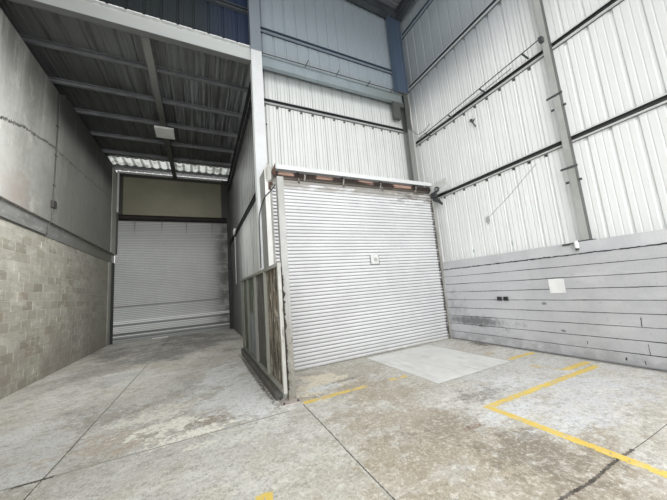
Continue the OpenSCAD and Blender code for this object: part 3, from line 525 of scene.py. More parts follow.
def tube(points, radius, step_m=0.03, rounds=4):
    """A round bar: a line through the points, its corners averaged round a few times, and a circle carried
    along it, square to the line. Both ends close in one point."""
    points = np.asarray(points, float)
    way = np.concatenate([[0], np.cumsum(np.linalg.norm(np.diff(points, axis=0), axis=1))])
    t = np.linspace(0, way[-1], max(int(way[-1]/step_m), 6))
    path = np.stack([np.interp(t, way, points[:, k]) for k in range(3)], 1)
    for _ in range(rounds):
        path[1:-1] = (path[:-2] + 2*path[1:-1] + path[2:])/4
    ahead = np.gradient(path, axis=0)
    ahead /= np.linalg.norm(ahead, axis=1, keepdims=True)
    flat = np.eye(3)[np.argmin(np.ptp(path, axis=0))]
    across = np.cross(ahead, flat)
    across /= np.linalg.norm(across, axis=1, keepdims=True)
    over = np.cross(ahead, across)
    turn = np.linspace(0, 2*math.pi, TUBE_SIDES + 1)
    ring = (path[:, None] + radius*np.cos(turn)[None, :, None]*across[:, None]
            + radius*np.sin(turn)[None, :, None]*over[:, None])
    ends = [np.repeat(path[i:i + 1, None], TUBE_SIDES + 1, axis=1) for i in (0, -1)]
    return np.concatenate([ends[0], ring, ends[1]])


# Conduit plastic: dark grey, smooth and dusty.
conduit_grey = aged("grey_pvc_conduit", "4d4a46", "403d3a", tint_mm=300, grain_mm=9, grain=0.1, run_mm=40, run=0.2,
                    rough=0.45, bump_mm=0.0)
on_render = ("X", render_x - 0.001)
put("left_wall_conduit", [tube([(-4.615, -7.9, 3.51), (-4.615, 2.16, 3.52), (-4.60, 2.2, 3.56), (-4.60, 2.2, 3.8),
                                (-4.535, 2.2, 3.92), (-4.535, 2.23, 7.3)], 0.012),
                          plate(rect(2.12, 4.22, 2.3, 4.40), *on_render, render_x + 0.06, 0.006)]
    + [plate(rect(2.17, z - 0.012, 2.27, z + 0.012), *on_render, render_x + 0.036, 0.003)
       for z in np.arange(4.8, 7.3, 0.8)], conduit_grey, close=True)
# Trim paint: pale, matt and dirty at its foot.
put("far_corner_trims", [plate(rect(7.40, FLOOR_Z, 7.65, 3.5), "X", -4.656, -4.632, 0.006),
                         plate(rect(7.20, 3.87, 7.88, 7.5), "X", -4.556, -4.535, 0.006)],
    aged("pale_corner_trim", "a9aaa2", "9b9c93", tint_mm=400, grain_mm=9, run=0.35, dirt="5b5b54", foot=0.6,
         foot_m=0.9, rough=0.6), close=True)


# Right wall.
# The same blocks, rubbed down and rolled with grey masonry paint that has closed the upright joints.
# The bed joints still show as fine dark lines. A smooth ring beam in the same paint lies on it.
def painted_courses(face_x, y0, y1, z0, courses, facing, seed):
    """Each course is one long pad: four lines of points along the wall, the outer two in its face and the
    inner two proud of it, with slow and fine noise on the level of both edges."""
    rng = np.random.default_rng(seed)
    y = np.linspace(y0, y1, 150)[::facing]
    slow = np.linspace(0, 1, 26)
    at = np.linspace(0, 1, len(y))
    gaps = BED/2*(1.1 + 0.5*np.array([np.interp(at, slow, rng.normal(0, 1, 26)) for _ in range(2*courses)]))
    gaps = np.clip(gaps + rng.normal(0, 0.0008, gaps.shape), 0.0025, 0.011).reshape(courses, 2, -1)
    base = (z0 + COURSE*np.arange(courses))[:, None]
    low, high = base + gaps[:, 0], base + COURSE - gaps[:, 1]
    pad = np.empty((courses, 4, len(y), 3))
    bulge = PAINTED_PROUD + 0.0012*np.array([np.interp(at, slow, rng.normal(0, 1, 26)) for _ in range(courses)])
    pad[..., 0] = face_x
    pad[:, 1:3, :, 0] += facing*bulge[:, None]
    pad[..., 1] = y
    pad[..., 2] = np.stack([low, low + ARRIS, high - ARRIS, high], 1)
    return pad


RIGHT_X = 4.65      # close to the painted faces


def wall_stain(y, z, half_y, half_z, *rim):
    """A stain on the right wall's face."""
    return stain((RIGHT_X, y, z), (ANY, half_y, half_z), *rim)


# Masonry paint: an even grey film with a slight sheen, over a wall whose courses still show. Soot is wiped
# along it near the shutter, with thin runs, old filler and chips.
wall_paint = aged("grey_masonry_paint", "b3b4b6", "aaabae", tint_mm=800, grain_mm=9, grain=0.15, run_mm=90,
                  run=0.12, dirt="8b8b8a", foot=0.25, foot_m=0.3, rough=0.6, bump_mm=0.6, marks=[
    ("cbccd0", rise("Y", -4.2, -2.6), 0.55), ("a2a3a7", rise("Y", -4.6, -6.4), 0.55),
    ("c6c7c9", blotches(330, 0.5, 0.7, (1, 0.4, 1)), 0.4),
    ("5f6062", wall_stain(-1.9, 0.655, 0.95, 0.13, 0.6, 1.5, 160),
     blotches(45, 0.27, 0.5, (1, 1, 0.25), 7, 0.7), 0.85),
    ("77787a", wall_stain(-2.2, 0.62, 1.25, 0.2, 0.8, 5, 120), blotches(60, 0.42, 0.55), 0.6),
    ("7c7d7e", wall_stain(-1.5, 1.0, 0.5, 0.5, 0.9, 3, 260), blotches(70, 0.3, 0.62, (1, 1, 0.4)), 0.45),
    ("86878a", rise("Z", 0.55, 0.2), blotches(260, 0.42, 0.56), 0.5)]
    + [("5f6062", wall_stain(y, z, half*1.8, half, 0.6, 2, 30), 0.75)
       for y, z, half in ((-3.54, 1.085, 0.035), (-3.78, 0.60, 0.03), (-2.1, 0.55, 0.05))]
    + [("5b5c5e", rise("Z", 0.19, 0.165), 0.8), ("8f9194", blotches(45, 0.62, 0.68), 0.5)])
# Joint paint: the same grey in shadow, dark between the courses.
dress(aged("painted_bed_joint", "333438", "4b4c50", tint_mm=300, grain_mm=8, rough=0.8), "right_block_wall")
wall_low, wall_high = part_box("right_block_wall")
put("right_wall_blocks", [painted_courses(x, wall_low[1] + 0.002, wall_high[1] - 0.002, wall_low[2], 9, facing, seed)
                          for x, facing, seed in ((wall_low[0], -1, 7), (wall_high[0], 1, 8))],
    wall_paint)
PADS_X = wall_low[0] - PAINTED_PROUD
CRACKS = [  # both ends and the width
    ((-4.815, 0.90), (-4.807, 0.755), 0.010), ((-4.555, 0.275), (-4.555, 0.23), 0.022),
    ((-4.76, 0.26), (-4.76, 0.20), 0.010), ((-4.83, 0.51), (-4.83, 0.36), 0.006),
    ((-4.10, 0.46), (-4.10, 0.41), 0.012), ((-3.1, 0.72), (-3.09, 0.60), 0.004),
    ((-5.6, 1.30), (-5.6, 1.16), 0.005), ((-6.2, 0.70), (-6.21, 0.57), 0.005)]
# Crack dirt: dry and nearly black, in cracks and holes, and a painted shadow in the gap under the ring beam.
put("right_wall_cracks", [ribbon((PADS_X, *a), (PADS_X, *b), w, LEFT, 0.25, 0.01, 90 + i, 0.001, 0.0012)
                          for i, (a, b, w) in enumerate(CRACKS)]
    + [ribbon((wall_low[0], -8.1, wall_high[2] - 0.007), (wall_low[0], -1.2, wall_high[2] - 0.005), 0.022, LEFT,
              0.3, 0.04, 99, 0.001, 0.0075)],
    aged("crack_dirt_and_shadow", "2f3033", "404145", tint_mm=200, grain_mm=8, rough=0.9))
# Beam paint: the same film, paler on smooth concrete.
dress(aged("painted_ring_beam", "c0c2c4", "b4b6b9", tint_mm=700, grain_mm=9, grain=0.12, run=0.12, dirt="8b8b8a",
           rough=0.55, bump_mm=0.5), "right_ring_beam")

# Ribbed sheets.
# Thin rolled steel sheets, coated off-white on the inside, with a main rib every 316 mm and two swages
# between. They hang outside the girts, with painted shade in the corner beside each rib and under each girt.
RIB = 0.316
side_first, side_girts = -0.47 - 0.308, [3.955, 5.845, 7.735, 9.625]
end_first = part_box("end_wall_sheeting")[0][0] + 0.040
end_girts = [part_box("end_wall_girts")[0][2], 6.133 + FLOOR_Z, 8.117 + FLOOR_Z]
tie_low, tie_top = (corner[2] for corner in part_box("tie_beam"))


def rib_shade(axis, first, undersides, depth):
    """Painted shade on a ribbed sheet whose ribs follow one axis from a first rib, as deep as a number up to 1."""
    def dust(tree, place, colour):
        """From the distance d to the nearest rib: painted shade as a dark line at its foot and faint ones at the
        swages, and a painted shadow in the pocket where each rib passes under a girt."""
        at = add(tree, "SeparateXYZ", {0: place}).outputs[axis]
        shifted = add(tree, "Math", {0: at, 1: first}, operation="SUBTRACT")
        away = add(tree, "Math", {0: shifted, 1: RIB/2}, operation="PINGPONG")
        broken = blotches(400, 0.25, 0.5, (1, 1, 0.1))(tree, place)
        for middle, half, tone, strength in ((0.031, 0.012, "858784", 0.9), (0.105, 0.019, "a2a4a2", 0.7)):
            off = add(tree, "Math", {0: away, 1: middle}, operation="SUBTRACT")
            off = add(tree, "Math", {0: off}, operation="ABSOLUTE")
            line = add(tree, "MapRange", {"Value": off, "From Min": half, "From Max": half*0.4})
            colour = coat(tree, place, colour, tone, line, broken, strength*depth)
        pocket = add(tree, "MapRange", {"Value": away, "From Min": 0.034, "From Max": 0.026})
        return wear(tree, place, colour, [
            ("2b2d2d", pocket, rise("Z", level - 0.055, level - 0.045), rise("Z", level + 0.005, level), 0.95)
            for level in undersides])
    return dust


# Coated steel: smooth, even and a little glossy. Dark and grey coats are on the sheets over the lane, and their dark
# is partly painted shade.
COATED = dict(tint_mm=1500, grain=0.06, run_mm=110, drawn=0.03, rough=0.42, bump_mm=0.0)
# The side wall has two green chalk marks, a line of dirt that ends in a grey smear, and painted shade towards
# the front, in its top corner by the end wall and over its dim top.
dress(aged("off_white_side_coat", "eceeed", "e6e8e7", run=0.08, dirt="a9a79c", **COATED, marks=[
    rib_shade("Y", side_first, side_girts, 0.55), ("eceeed", rise("Y", -4.4, -4.6), 0.6),
    *[(tone, 0.85, stain((4.86, y, z), (ANY, half_y, half_z), 0.4, 2, 30)) for y, z, half_y, half_z, tone in (
        (-2.035, 2.33, 0.014, 0.06, "5f8a6a"), (-3.0, 2.35, 0.012, 0.07, "5f8a6a"),
        (-2.54, 2.99, 0.07, 0.12, "8f9290"))],
    ("c3c5c4", rise("Y", -3.6, -6.0), 0.8), ("595f64", rise("Z", 6.6, 8.2), rise("Y", -4.6, -1.8), 0.9),
    ("8b9297", rise("Z", 6.0, 8.4), rise("Y", -6.2, -4.2), 0.85), ("a5adb3", rise("Z", 7.5, 9.8), 0.6)]),
      "right_sheeting")
# The end wall is painted greyer as shade from 6 m up, with a painted shadow under the tie beam, and blue-grey
# painted shade that thickens above it.
dress(aged("off_white_end_coat", "e3e5e3", "dcdedc", run=0.08, dirt="a9a79c", **COATED, marks=[
    rib_shade("X", end_first, end_girts, 0.8), ("c3c9c9", rise("Z", 6.0, 7.3), 0.6),
    ("7c8283", rise("Z", tie_low - 0.26, tie_low - 0.02), 0.75),
    ("98a4ac", rise("Z", tie_top - 0.05, 8.0), 0.88)]), "end_wall_sheeting")
# The wall over the lane is painted dark as shade, grey on the left and turning to navy beside the column.
dress(aged("shaded_dark_sheet", "33393b", "2d3335", run=0.3, dirt="1c1f20", **COATED,
           marks=[("22304a", rise("X", -1.6, -0.1), 0.9)]), "high_wall_sheeting")
# The hall's left sheets are a dull mid grey with dark runs.
dress(aged("grey_coated_steel", "8f9799", "848c8e", run=0.3, dirt="5f625f", **COATED), "left_high_sheeting")
# The lane's side sheets are painted near black as shade, and paler in streaks near the column and low down.
dress(aged("shaded_side_sheet", "272928", "202221", run=0.4, dirt="2a2c2b", **COATED, marks=[
    ("8d908c", rise("Y", 5.6, 3.0), rise("Z", 6.8, 5.2), blotches(70, 0.28, 0.6, (1, 1, 0.04)), 0.85),
    ("c6c9c5", rise("Y", 5.0, 2.6), rise("Z", 4.6, 3.7), blotches(70, 0.22, 0.58, (1, 1, 0.04)), 0.9),
    rib_shade("Y", -0.42, [], 1.0)]), "lane_side_sheeting")
# Soot has settled in the pans of the lane's roof. The ribs' flanks beside the column are painted paler as light,
# as is the edge by the beam.
dress(aged("sooty_roof_sheet", "484a49", "3d3f3e", run=0.3, dirt="2a2b2b", **COATED, marks=[
    ("8b8e8e", rise("Y", 2.4, -0.2), 0.5),
    ("888d90", rise("X", -4.2, -0.8), rise("Y", 7.0, 0.5), blotches(70, 0.45, 0.62, (1, 0.03, 1)), 0.85),
    ("1d1e1d", blotches(90, 0.52, 0.66, (1, 0.03, 1)), 0.6)]), "lane_roof_sheeting")
# The hall's roof sheets are grey with settled dust.
dress(aged("dull_roof_sheet", "7d8183", "6f7375", run=0.25, dirt="585a59", **COATED),
      "hall_roof_left", "hall_roof_right", "ridge_cap")
# Dirt line: a thin run of dust across the sheet, as a hair-thin strip.
SHEET_X = 4.8545      # just off the side sheets
SMEAR = [(-3.75, 3.85), (-3.14, 3.40), (-2.55, 3.03)]
put("side_sheet_line", [ribbon((SHEET_X, *a), (SHEET_X, *b), 0.012, LEFT, 0.3, 0.02, 110 + i, 0.001)
                        for i, (a, b) in enumerate(zip(SMEAR, SMEAR[1:]))],
    aged("dust_run", "8a8c89", "9c9e9b", tint_mm=200, grain_mm=8, rough=0.8))

# Steelwork.
# Rolled and cold-formed sections in old gloss paint: white columns, grey beams and girts, dark rafters.
# The open girts are painted nearly black inside as shade.
over_tie = rise("Z", tie_top, tie_top + 0.12)
GLOSS = dict(tint_mm=700, grain=0.06, run_mm=50, bump_mm=0.2)
# White gloss paint: smooth, with thin yellow-grey runs, a dirty foot and a few rust spots.
white_gloss = aged("white_gloss_paint", "dfe2e3", "d6d9da", run=0.12, dirt="a5a295", foot=0.5, foot_m=0.7,
                   rust=0.06, rough=0.38, **GLOSS)
# Above the tie beam the column is painted grey to the roof, as shade.
dress(aged("white_column_paint", "dfe2e3", "d6d9da", run=0.14, dirt="9c9b90", foot=0.5, foot_m=0.9, rust=0.06,
           rough=0.38, **GLOSS, marks=[("757f87", rise("Z", tie_top, tie_top + 0.03), 0.95)]), "column_centre")
# The corner column is painted with shade in its web, along its flange edges and on its bracket, and with navy
# shade above the tie beam, where its lit flange is painted paler.
dress(aged("grey_corner_paint", "cbccc8", "bcbdb9", grain=0.12, run=0.25, dirt="6c6a62", foot=0.4, foot_m=0.8,
           rust=0.08, bump_mm=0.3, marks=[
    ("7d807c", rise("X", 4.612, 4.600), 0.9), ("4f5350", rise("X", 4.60, 4.58), rise("Z", 6.2, 6.3), 0.95),
    ("434646", rise("X", 4.655, 4.66), rise("X", 4.685, 4.68), 0.85), ("4d5d71", over_tie, 0.95),
    ("8d97a1", over_tie, rise("X", 4.645, 4.665), 0.75)]), "column_corner")
# The side of the middle column that faces the open front is painted dark as shade.
dress(aged("pale_grey_paint", "a5a7a4", "999b97", grain=0.12, run_mm=50, run=0.25, dirt="6d6b62", rust=0.06,
           rough=0.48, bump_mm=0.3, marks=[
    ("3f403e", rise("Y", -4.398, -4.403), rise("Y", -4.45, -4.43), 0.85)]), "column_right_front", "column_right_mid")
# The tie beam has lost its blue towards the corner column, and is dull at its left end.
dress(aged("blue_grey_paint", "939fa5", "869296", tint_mm=800, grain=0.12, run_mm=120, run=0.2, dirt="6d7072",
           rust=0.06, bump_mm=0.3, marks=[("7e8685", rise("X", 2.6, 4.2), 0.9), ("848f94", rise("X", 1.2, 0.1), 0.6)]),
      "tie_beam")
# The lane beam's web is wiped paler towards the column, and its top flange is flaking white.
OLD = dict(grain=0.15, run=0.3, bump_mm=0.3)
dress(aged("old_grey_paint", "a9aba7", "9a9c98", dirt="565650", foot=0.4, foot_m=0.8, rust=0.1, **OLD, marks=[
    ("c3c7c6", rise("X", -6.4, -1.4), 0.9),
    ("e2e4e2", rise("Z", 7.505, 7.515), blotches(50, 0.45, 0.60, (0.5, 1, 1), 6), 0.55),
    ("4b4d4b", rise("Z", 7.172, 7.166), 0.9)]), "lane_eaves_beam", "left_columns")
# The lane's purlins are dull and grey with soot.
dress(aged("sooty_purlin_paint", "76787a", "66686a", dirt="3c3c38", rough=0.6, **OLD), "lane_purlins")
# The lane rafter is painted paler towards the eaves beam, as painted light.
dress(aged("sooty_rafter_paint", "484946", "3d3e3b", dirt="2c2c29", rough=0.6, **OLD,
           marks=[("898b87", rise("Y", 3.4, -0.3), 0.9)]), "lane_rafter")
# Dark grey paint: even and half dull, on all the steel under the hall's roof.
dress(aged("dark_grey_paint", "4a4f54", "3c4044", tint_mm=700, grain=0.15, run_mm=70, run=0.2, dirt="2a2b2c",
           rust=0.06, rough=0.55, bump_mm=0.3), "high_wall_girts", "left_high_girts", "rafter_front", "rafter_mid",
      "rafter_end", "hall_purlins", "eaves_beams", "lane_wall_fascia")
GIRT_MIDDLE, LIP_GAP, LIP = 0.06, 0.0565, 0.042      # levels in a girt's section, and the length of its lips


def shade_inside_girt(levels, axis, face):
    """Paints shade into a lipped girt: black where it is deeper than its lips and between its flanges, and a shadow
    line along the back of its bottom flange.
    """
    def paint(tree, place, colour):
        """Finds the nearest girt's level, then tests the depth behind its lips. Blue-grey painted shade lies on the
        top ones.
        """
        colour = coat(tree, place, colour, "7d8a96", rise("Z", 7.4, 8.4), 0.9)
        parts = add(tree, "SeparateXYZ", {0: place})
        back = add(tree, "Math", {0: parts.outputs[axis], 1: face + LIP}, operation="GREATER_THAN")
        deep = add(tree, "Math", {0: parts.outputs[axis], 1: face}, operation="GREATER_THAN")
        near = None
        for level in levels:
            under = add(tree, "Math", {0: parts.outputs["Z"], 1: level - GIRT_MIDDLE, 2: 0.008}, operation="COMPARE")
            colour = coat(tree, place, colour, "1f2020", under, back, 0.93)
            gap = add(tree, "Math", {0: parts.outputs["Z"], 1: level, 2: LIP_GAP}, operation="COMPARE")
            near = gap if near is None else add(tree, "Math", {0: near, 1: gap}, operation="MAXIMUM")
        dark = coat(tree, place, linear("1b1c1d"), "4a5663", rise("Z", 7.2, 8.4))
        return coat(tree, place, colour, dark, near, deep, 0.93)
    return paint


# Girt paint: light grey with a slight sheen outside, and black inside as painted shade.
for node_name, paint_name, tones, undersides, axis in (
        ("right_girts", "grey_girt_paint", ("c4c6c5", "b8bab9"), side_girts, 0),
        ("end_wall_girts", "grey_end_girt_paint", ("b4b7b7", "a6a9a9"), end_girts, 1)):
    dress(aged(paint_name, *tones, grain=0.12, run_mm=50, run=0.15, dirt="85847c", bump_mm=0.2, marks=[
        shade_inside_girt([level + GIRT_MIDDLE for level in undersides], "XY"[axis],
                     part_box(node_name)[0][axis] + 0.004)]), node_name)


# Fittings on the steelwork.
# A round brace bar lies along the tie beam, with bent hooks over its top, and a white flashing closes the
# gap beside the central column. A bar on stand-offs runs down the right wall, with clamps on its column.
def sloped(z, y):
    """The level at y of a bar on the right wall whose level at y = -1 is z. It rises 62 mm a metre."""
    return z + 0.062*(-1.0 - y)


# Bar steel: dark with soot, with a few rust spots.
bar_steel = aged("sooty_round_bar", "43464a", "35383b", tint_mm=200, grain_mm=8, grain=0.15, run_mm=40, run=0.2,
                 rust=0.1, rough=0.45, bump_mm=0.2)
HOOK_Y = -0.745
HOOKS = [(1.25, 7.42, 1.35, 7.645), (2.14, 7.42, 2.25, 7.62), (3.13, 7.375, 3.26, 7.57), (3.98, 7.40, 4.08, 7.56)]
put("tie_beam_bar", [tube([(0.13, HOOK_Y, 7.46), (4.15, HOOK_Y, 7.49)], 0.010)]
    + [tube([(x0, HOOK_Y, z0), (x1, HOOK_Y, z1)], 0.012) for x0, z0, x1, z1 in HOOKS]
    + [plate(disc(0.196, 5.689, 0.022), "Y", -0.607, -0.60, 0.002)], bar_steel, close=True)
put("column_flashing", [plate(rect(0.118, 4.44, 0.160, 7.1), "Y", -0.606, -0.600, 0.001)], white_gloss,
    close=True)
BAR_X, WIRE_X = 4.575, 4.60      # both stand off the wall
bar_y = (-1.0, -1.29, -2.10, -3.03, -3.99, -4.35)
put("right_wall_bar", [tube([(BAR_X, y, sloped(5.84, y)) for y in bar_y], 0.011)]
    + [tube([(BAR_X, y, sloped(5.84, y)), (4.79, y, sloped(5.80, y))], 0.018) for y in bar_y[1:-1]]
    + [tube([(WIRE_X, y, sloped(5.74, y)) for y in (-1.5, -2.5, -3.75)], 0.007)]
    + [tube([(4.60, -0.83, 7.50), (4.60, -0.77, 6.63), (4.60, -0.78, 6.24), (4.60, -0.99, 5.98), (4.60, -1.24, 5.97),
             (4.59, -1.48, 6.04)], 0.007)], bar_steel, close=True)
put("sheet_bracket", [plate(disc(-2.55, 5.53, 0.035), "X", 4.80, 4.85, 0.006),
                      tube([(4.80, -2.55, 5.53), (4.79, -2.60, 5.43), (4.80, -2.66, 5.30)], 0.014, step_m=0.02),
                      tube([(4.80, -2.60, 5.44), (4.79, -2.67, 5.50)], 0.012, step_m=0.02)], bar_steel,
    close=True)
put("column_clamps", [plate(rect(-4.455, z - 0.018, -4.20, z + 0.018), "X", 4.655, 4.672, 0.003)
                      for z in (4.88, 3.48)]
    + [plate(rect(y, z - 0.02, y + 0.05, z + 0.02), "X", 4.655, 4.673, 0.003) for z in (4.63, 3.22)
       for y in (-4.475, -4.29)]
    + [plate(rect(-4.46, 2.152, -4.24, 2.17), "X", 4.66, 4.77, 0.003),
       plate(rect(-4.35, 6.0, -4.29, 6.10), "X", 4.58, 4.675, 0.004)], bar_steel, close=True)
# Moulded plastic: even and smooth, black for the outlets, and white for the camera and the sign plate.
MOULDED = dict(grain_mm=6, rough=0.35, bump_mm=0.1)
black_plastic = aged("black_moulded_plastic", "1d1d1f", "27272a", tint_mm=100, grain=0.1, **MOULDED)
white_plastic = aged("white_moulded_plastic", "e6e7e6", "dcdddc", tint_mm=200, grain=0.05, **MOULDED)
put("wall_outlets", [plate(rect(y, 1.135, y + 0.085, 1.22), "X", 4.605, PADS_X + 0.001, 0.006)
                     for y in (-2.72, -2.865)]
    + [plate(disc(y, 1.178, 0.022), "X", 4.600, 4.606, 0.003) for y in (-2.678, -2.823)],
    black_plastic, close=True)


def turned(profile, centre, axis="Z", sides=24):
    """A profile of (radius, height) points turned round an axis through the centre."""
    profile = np.asarray(profile, float)
    turn = np.linspace(0, 2*math.pi, sides + 1)
    r, h = profile[:, :1], profile[:, 1:]
    ring = np.stack([r*np.cos(turn), r*np.sin(turn), np.broadcast_to(h, (len(profile), sides + 1))], -1)
    return np.asarray(centre) + ring[..., {"Z": (0, 1, 2), "X": (2, 0, 1)}[axis]]


put("wall_camera", [turned([(0, 0), (0.026, 0.002), (0.032, 0.02), (0.032, 0.10), (0.024, 0.13), (0, 0.135)],
                           (4.60, -4.24, 2.04))], white_plastic, close=True)
put("wall_camera_arm", [turned([(0, 0), (0.02, 0.004), (0.028, 0.025), (0.028, 0.04), (0, 0.04)], (4.60, -4.24, 2.0)),
                        plate(rect(-4.13, 2.115, -4.02, 2.145), "X", 4.62, 4.656, 0.004),
                        tube([(4.63, -4.04, 2.13), (4.61, -4.16, 2.14), (4.60, -4.24, 2.14)], 0.010, step_m=0.02)],
    conduit_grey, close=True)
put("bare_sign_plate", [plate(rect(-3.93, 1.28, -3.68, 1.54), "X", 4.642, PADS_X + 0.001, 0.001)]
    + [turned([(0, 0), (0.008, 0), (0.006, 0.003), (0, 0.004)], (4.642, y, z), "X", 12)
       for y in (-3.91, -3.70) for z in (1.30, 1.52)], white_plastic, close=True)

# Near shutter.
# Interlocking curved steel slats in white baked enamel hang from a rusty barrel behind a folded hood.
# Dirt lies in the joint of every slat, painted shade deepens towards the top of each, and the upper slats are darker
# where they wind on the barrel.
SLAT = 0.075


def slats(tree, place):
    """How many slats lie below a point."""
    level = add(tree, "SeparateXYZ", {0: place}).outputs["Z"]
    above = add(tree, "Math", {0: level, 1: FLOOR_Z}, operation="SUBTRACT")
    return add(tree, "Math", {0: above, 1: SLAT}, operation="DIVIDE")


def in_slat(low, high):
    """A mask on every slat that goes from 0 to 1 between two heights, each a share of the slat."""
    def mask(tree, place):
        phase = add(tree, "Math", {0: slats(tree, place)}, operation="FRACT")
        return add(tree, "MapRange", {"Value": phase, "From Min": low, "From Max": high})
    return mask


def few_slats(tree, place):
    """A mask on the slats whose number draws a high chance."""
    number = add(tree, "Math", {0: slats(tree, place)}, operation="FLOOR")
    chance = add(tree, "TexWhiteNoise", {"W": number}, noise_dimensions="1D").outputs["Value"]
    return add(tree, "MapRange", {"Value": chance, "From Min": 0.72, "From Max": 0.9})


def slat_joints_and_shade(tone, strength):
    """Marks for a dark line at every joint of the slats, painted shade that deepens towards the top of each slat, and
    a few slats darker than the rest.
    """
    return [(tone, in_slat(0.6, 1.0), 0.3*strength), (tone, in_slat(0.79, 0.87), strength),
            (tone, in_slat(0.09, 0.03), strength), ("3f3d3b", few_slats, in_slat(0.84, 0.92), 0.8*strength),
            ("b9bbba", few_slats, 0.25)]


# Baked enamel: smooth and white, with a soft gloss. Painted shadows of the end locks show as dashes at both ends,
# and the two slats below the barrel are darker and beige.
dress(aged("white_baked_enamel", "dfe0e2", "d6d7d9", tint_mm=900, grain=0.05, run_mm=300, run=0.1, drawn=0.3,
           dirt="a5a39b", foot=0.3, foot_m=0.25, rough=0.36, bump_mm=0.0, marks=[
    *slat_joints_and_shade("69686c", 0.9),
    *[("3a3735", in_slat(0.55, 0.62), rise("X", low, low + 0.01), rise("X", high + 0.01, high),
       blotches(60, 0.3, 0.5), 0.85) for low, high in ((0.115, 0.235), (4.53, 4.60))],
    ("3f3b36", rise("X", 4.52, 4.57), blotches(60, 0.4, 0.52, (1, 1, 0.6)), 0.85),
    ("5a5148", rise("Z", 4.02, 4.09), 0.8),
    ("8f8b84", rise("Z", 3.86, 3.97), blotches(180, 0.35, 0.55, (0.3, 1, 1), 6), 0.85),
    ("5b5650", rise("Z", 3.6, 3.97), rise("X", 2.2, 4.2), blotches(120, 0.50, 0.58, (0.3, 1, 1), 7, 0.7), 0.8)]),
      "near_shutter_curtain")
BARREL_Y, BARREL_Z, STRAP_WIDTH = -1.06, 4.23, 0.035
under_barrel = rise("Z", 4.185, 4.178)
# Rusted mild steel: brown-black scale, matt, with powdery rust in patches. In four stretches the slats have
# rubbed it to pink rust, painted pale as a highlight, and the first turn of dirty slats is wound under it.
dress(aged("rusted_barrel_steel", "251d1a", "302521", tint_mm=160, grain_mm=9, run_mm=70, run=0.3, dirt="1a1310",
           rough=0.85, bump_mm=0.8, marks=[
    *[("b09081", 0.9, blotches(34, 0.47, 0.52, (0.015, 1, 1), 3),
       stain(((low + high)/2, BARREL_Y, BARREL_Z), ((high - low)/2, ANY, ANY), 0.25, 1.5, 60))
      for low, high in ((0.24, 0.63), (1.13, 1.60), (2.25, 2.74), (3.31, 3.97))],
    ("8b857c", under_barrel, blotches(50, 0.38, 0.5, (0.08, 1, 1), 5), 0.9),
    ("332e2a", under_barrel, rise("Z", 4.158, 4.165), 0.8)]), "near_shutter_barrel")
# Blackened steel: old scale under soot, without the colour of rust.
blackened = aged("blackened_barrel_steel", "1c1a18", "26221f", tint_mm=200, grain_mm=9, grain=0.3, rough=0.85,
                 bump_mm=0.8)
dress(blackened, "far_shutter_barrel")


def strap(x):
    """A band over the front of the barrel: an arc of two lines of points across its width, and a second
    arc outside it, so that the band closes."""
    turn = np.radians(np.linspace(165, 262, 15))
    inner, outer = (np.stack([BARREL_Y - 0.002 + r*np.cos(turn), BARREL_Z + r*np.sin(turn)], 1)
                    for r in (0.110, 0.116))
    loop = np.stack([inner, inner, outer, outer, inner], 1)
    xs = x + STRAP_WIDTH/2*np.array([-1, 1, 1, -1, -1])
    band = np.concatenate([np.broadcast_to(xs[None, :, None], (15, 5, 1)), loop], -1)
    ends = [np.repeat(band[i:i + 1, :4].mean(1, keepdims=True), 5, axis=1) for i in (0, -1)]
    return np.concatenate([ends[0], band, ends[1]])


# Strap paint: pale, and black with grease in spots.
put("barrel_straps", [strap(x) for x in (0.86, 1.84, 2.91, 4.08)],
    aged("greasy_strap_paint", "a8a7a2", "55534f", tint_mm=60, grain_mm=8, bump_mm=0.2), close=True)
# Dirty white paint: chipped to rust, with grey runs. The side of the jamb that the lane sees is painted dark as shade
# and greasy, and its front is clean.
DIRTY_WHITE = dict(tint_mm=350, grain=0.12, run_mm=40, run=0.35, dirt="83817a", foot_m=0.8, rust=0.2)
dress(aged("dirty_and_shaded_jamb_paint", "dededb", "d2d2ce", foot=0.6, **DIRTY_WHITE, marks=[
    ("80827d", rise("X", -0.052, -0.058), 0.9), ("6d6a62", rise("Z", 0.9, 0.2), blotches(120, 0.4, 0.6), 0.7)]),
      "near_shutter_jamb")
dress(aged("dirty_guide_paint", "a3a39e", "8d8c86", foot=0.6, **DIRTY_WHITE), "near_shutter_guides")
# End plate paint: pale, with grease runs and small specks of rust.
dress(aged("pale_end_plate_paint", "d6d8d5", "c2c4c0", tint_mm=120, grain_mm=9, run_mm=40, run=0.4,
           dirt="6f6c65", rust=0.25, rust_mm=30), "near_shutter_end_plates")
# The hood is white outside, with soot and painted shade under and behind it.
dress(aged("white_hood_paint", "dfe2e3", "d6d9da", run=0.12, dirt="a5a295", rust=0.05, rough=0.38, **GLOSS,
           marks=[("2b2725", rise("Y", -1.186, -1.180), rise("Z", 4.412, 4.405), 0.95)]), "near_shutter_hood")

# Fittings of the near shutter.
# A bearing box and a rusty gusset carry the barrel at the jamb, and its cable runs down the column. At the
# other end sit the spring's cup and its bracket. A bare number plate is screwed to the curtain.
# Bearing box paint: the same dirty white.
put("jamb_bearing_box", [plate([(-0.02, 3.97), (0.075, 4.02), (0.075, 4.30), (0.0, 4.37)], "Y", -1.30, -1.255, 0.006),
                         plate(rect(-0.035, 4.02, -0.02, 4.28), "Y", -1.29, -1.262, 0.003)],
    aged("pale_bearing_paint", "c2c2bd", "a9a8a1", foot=0.6, **DIRTY_WHITE), close=True)
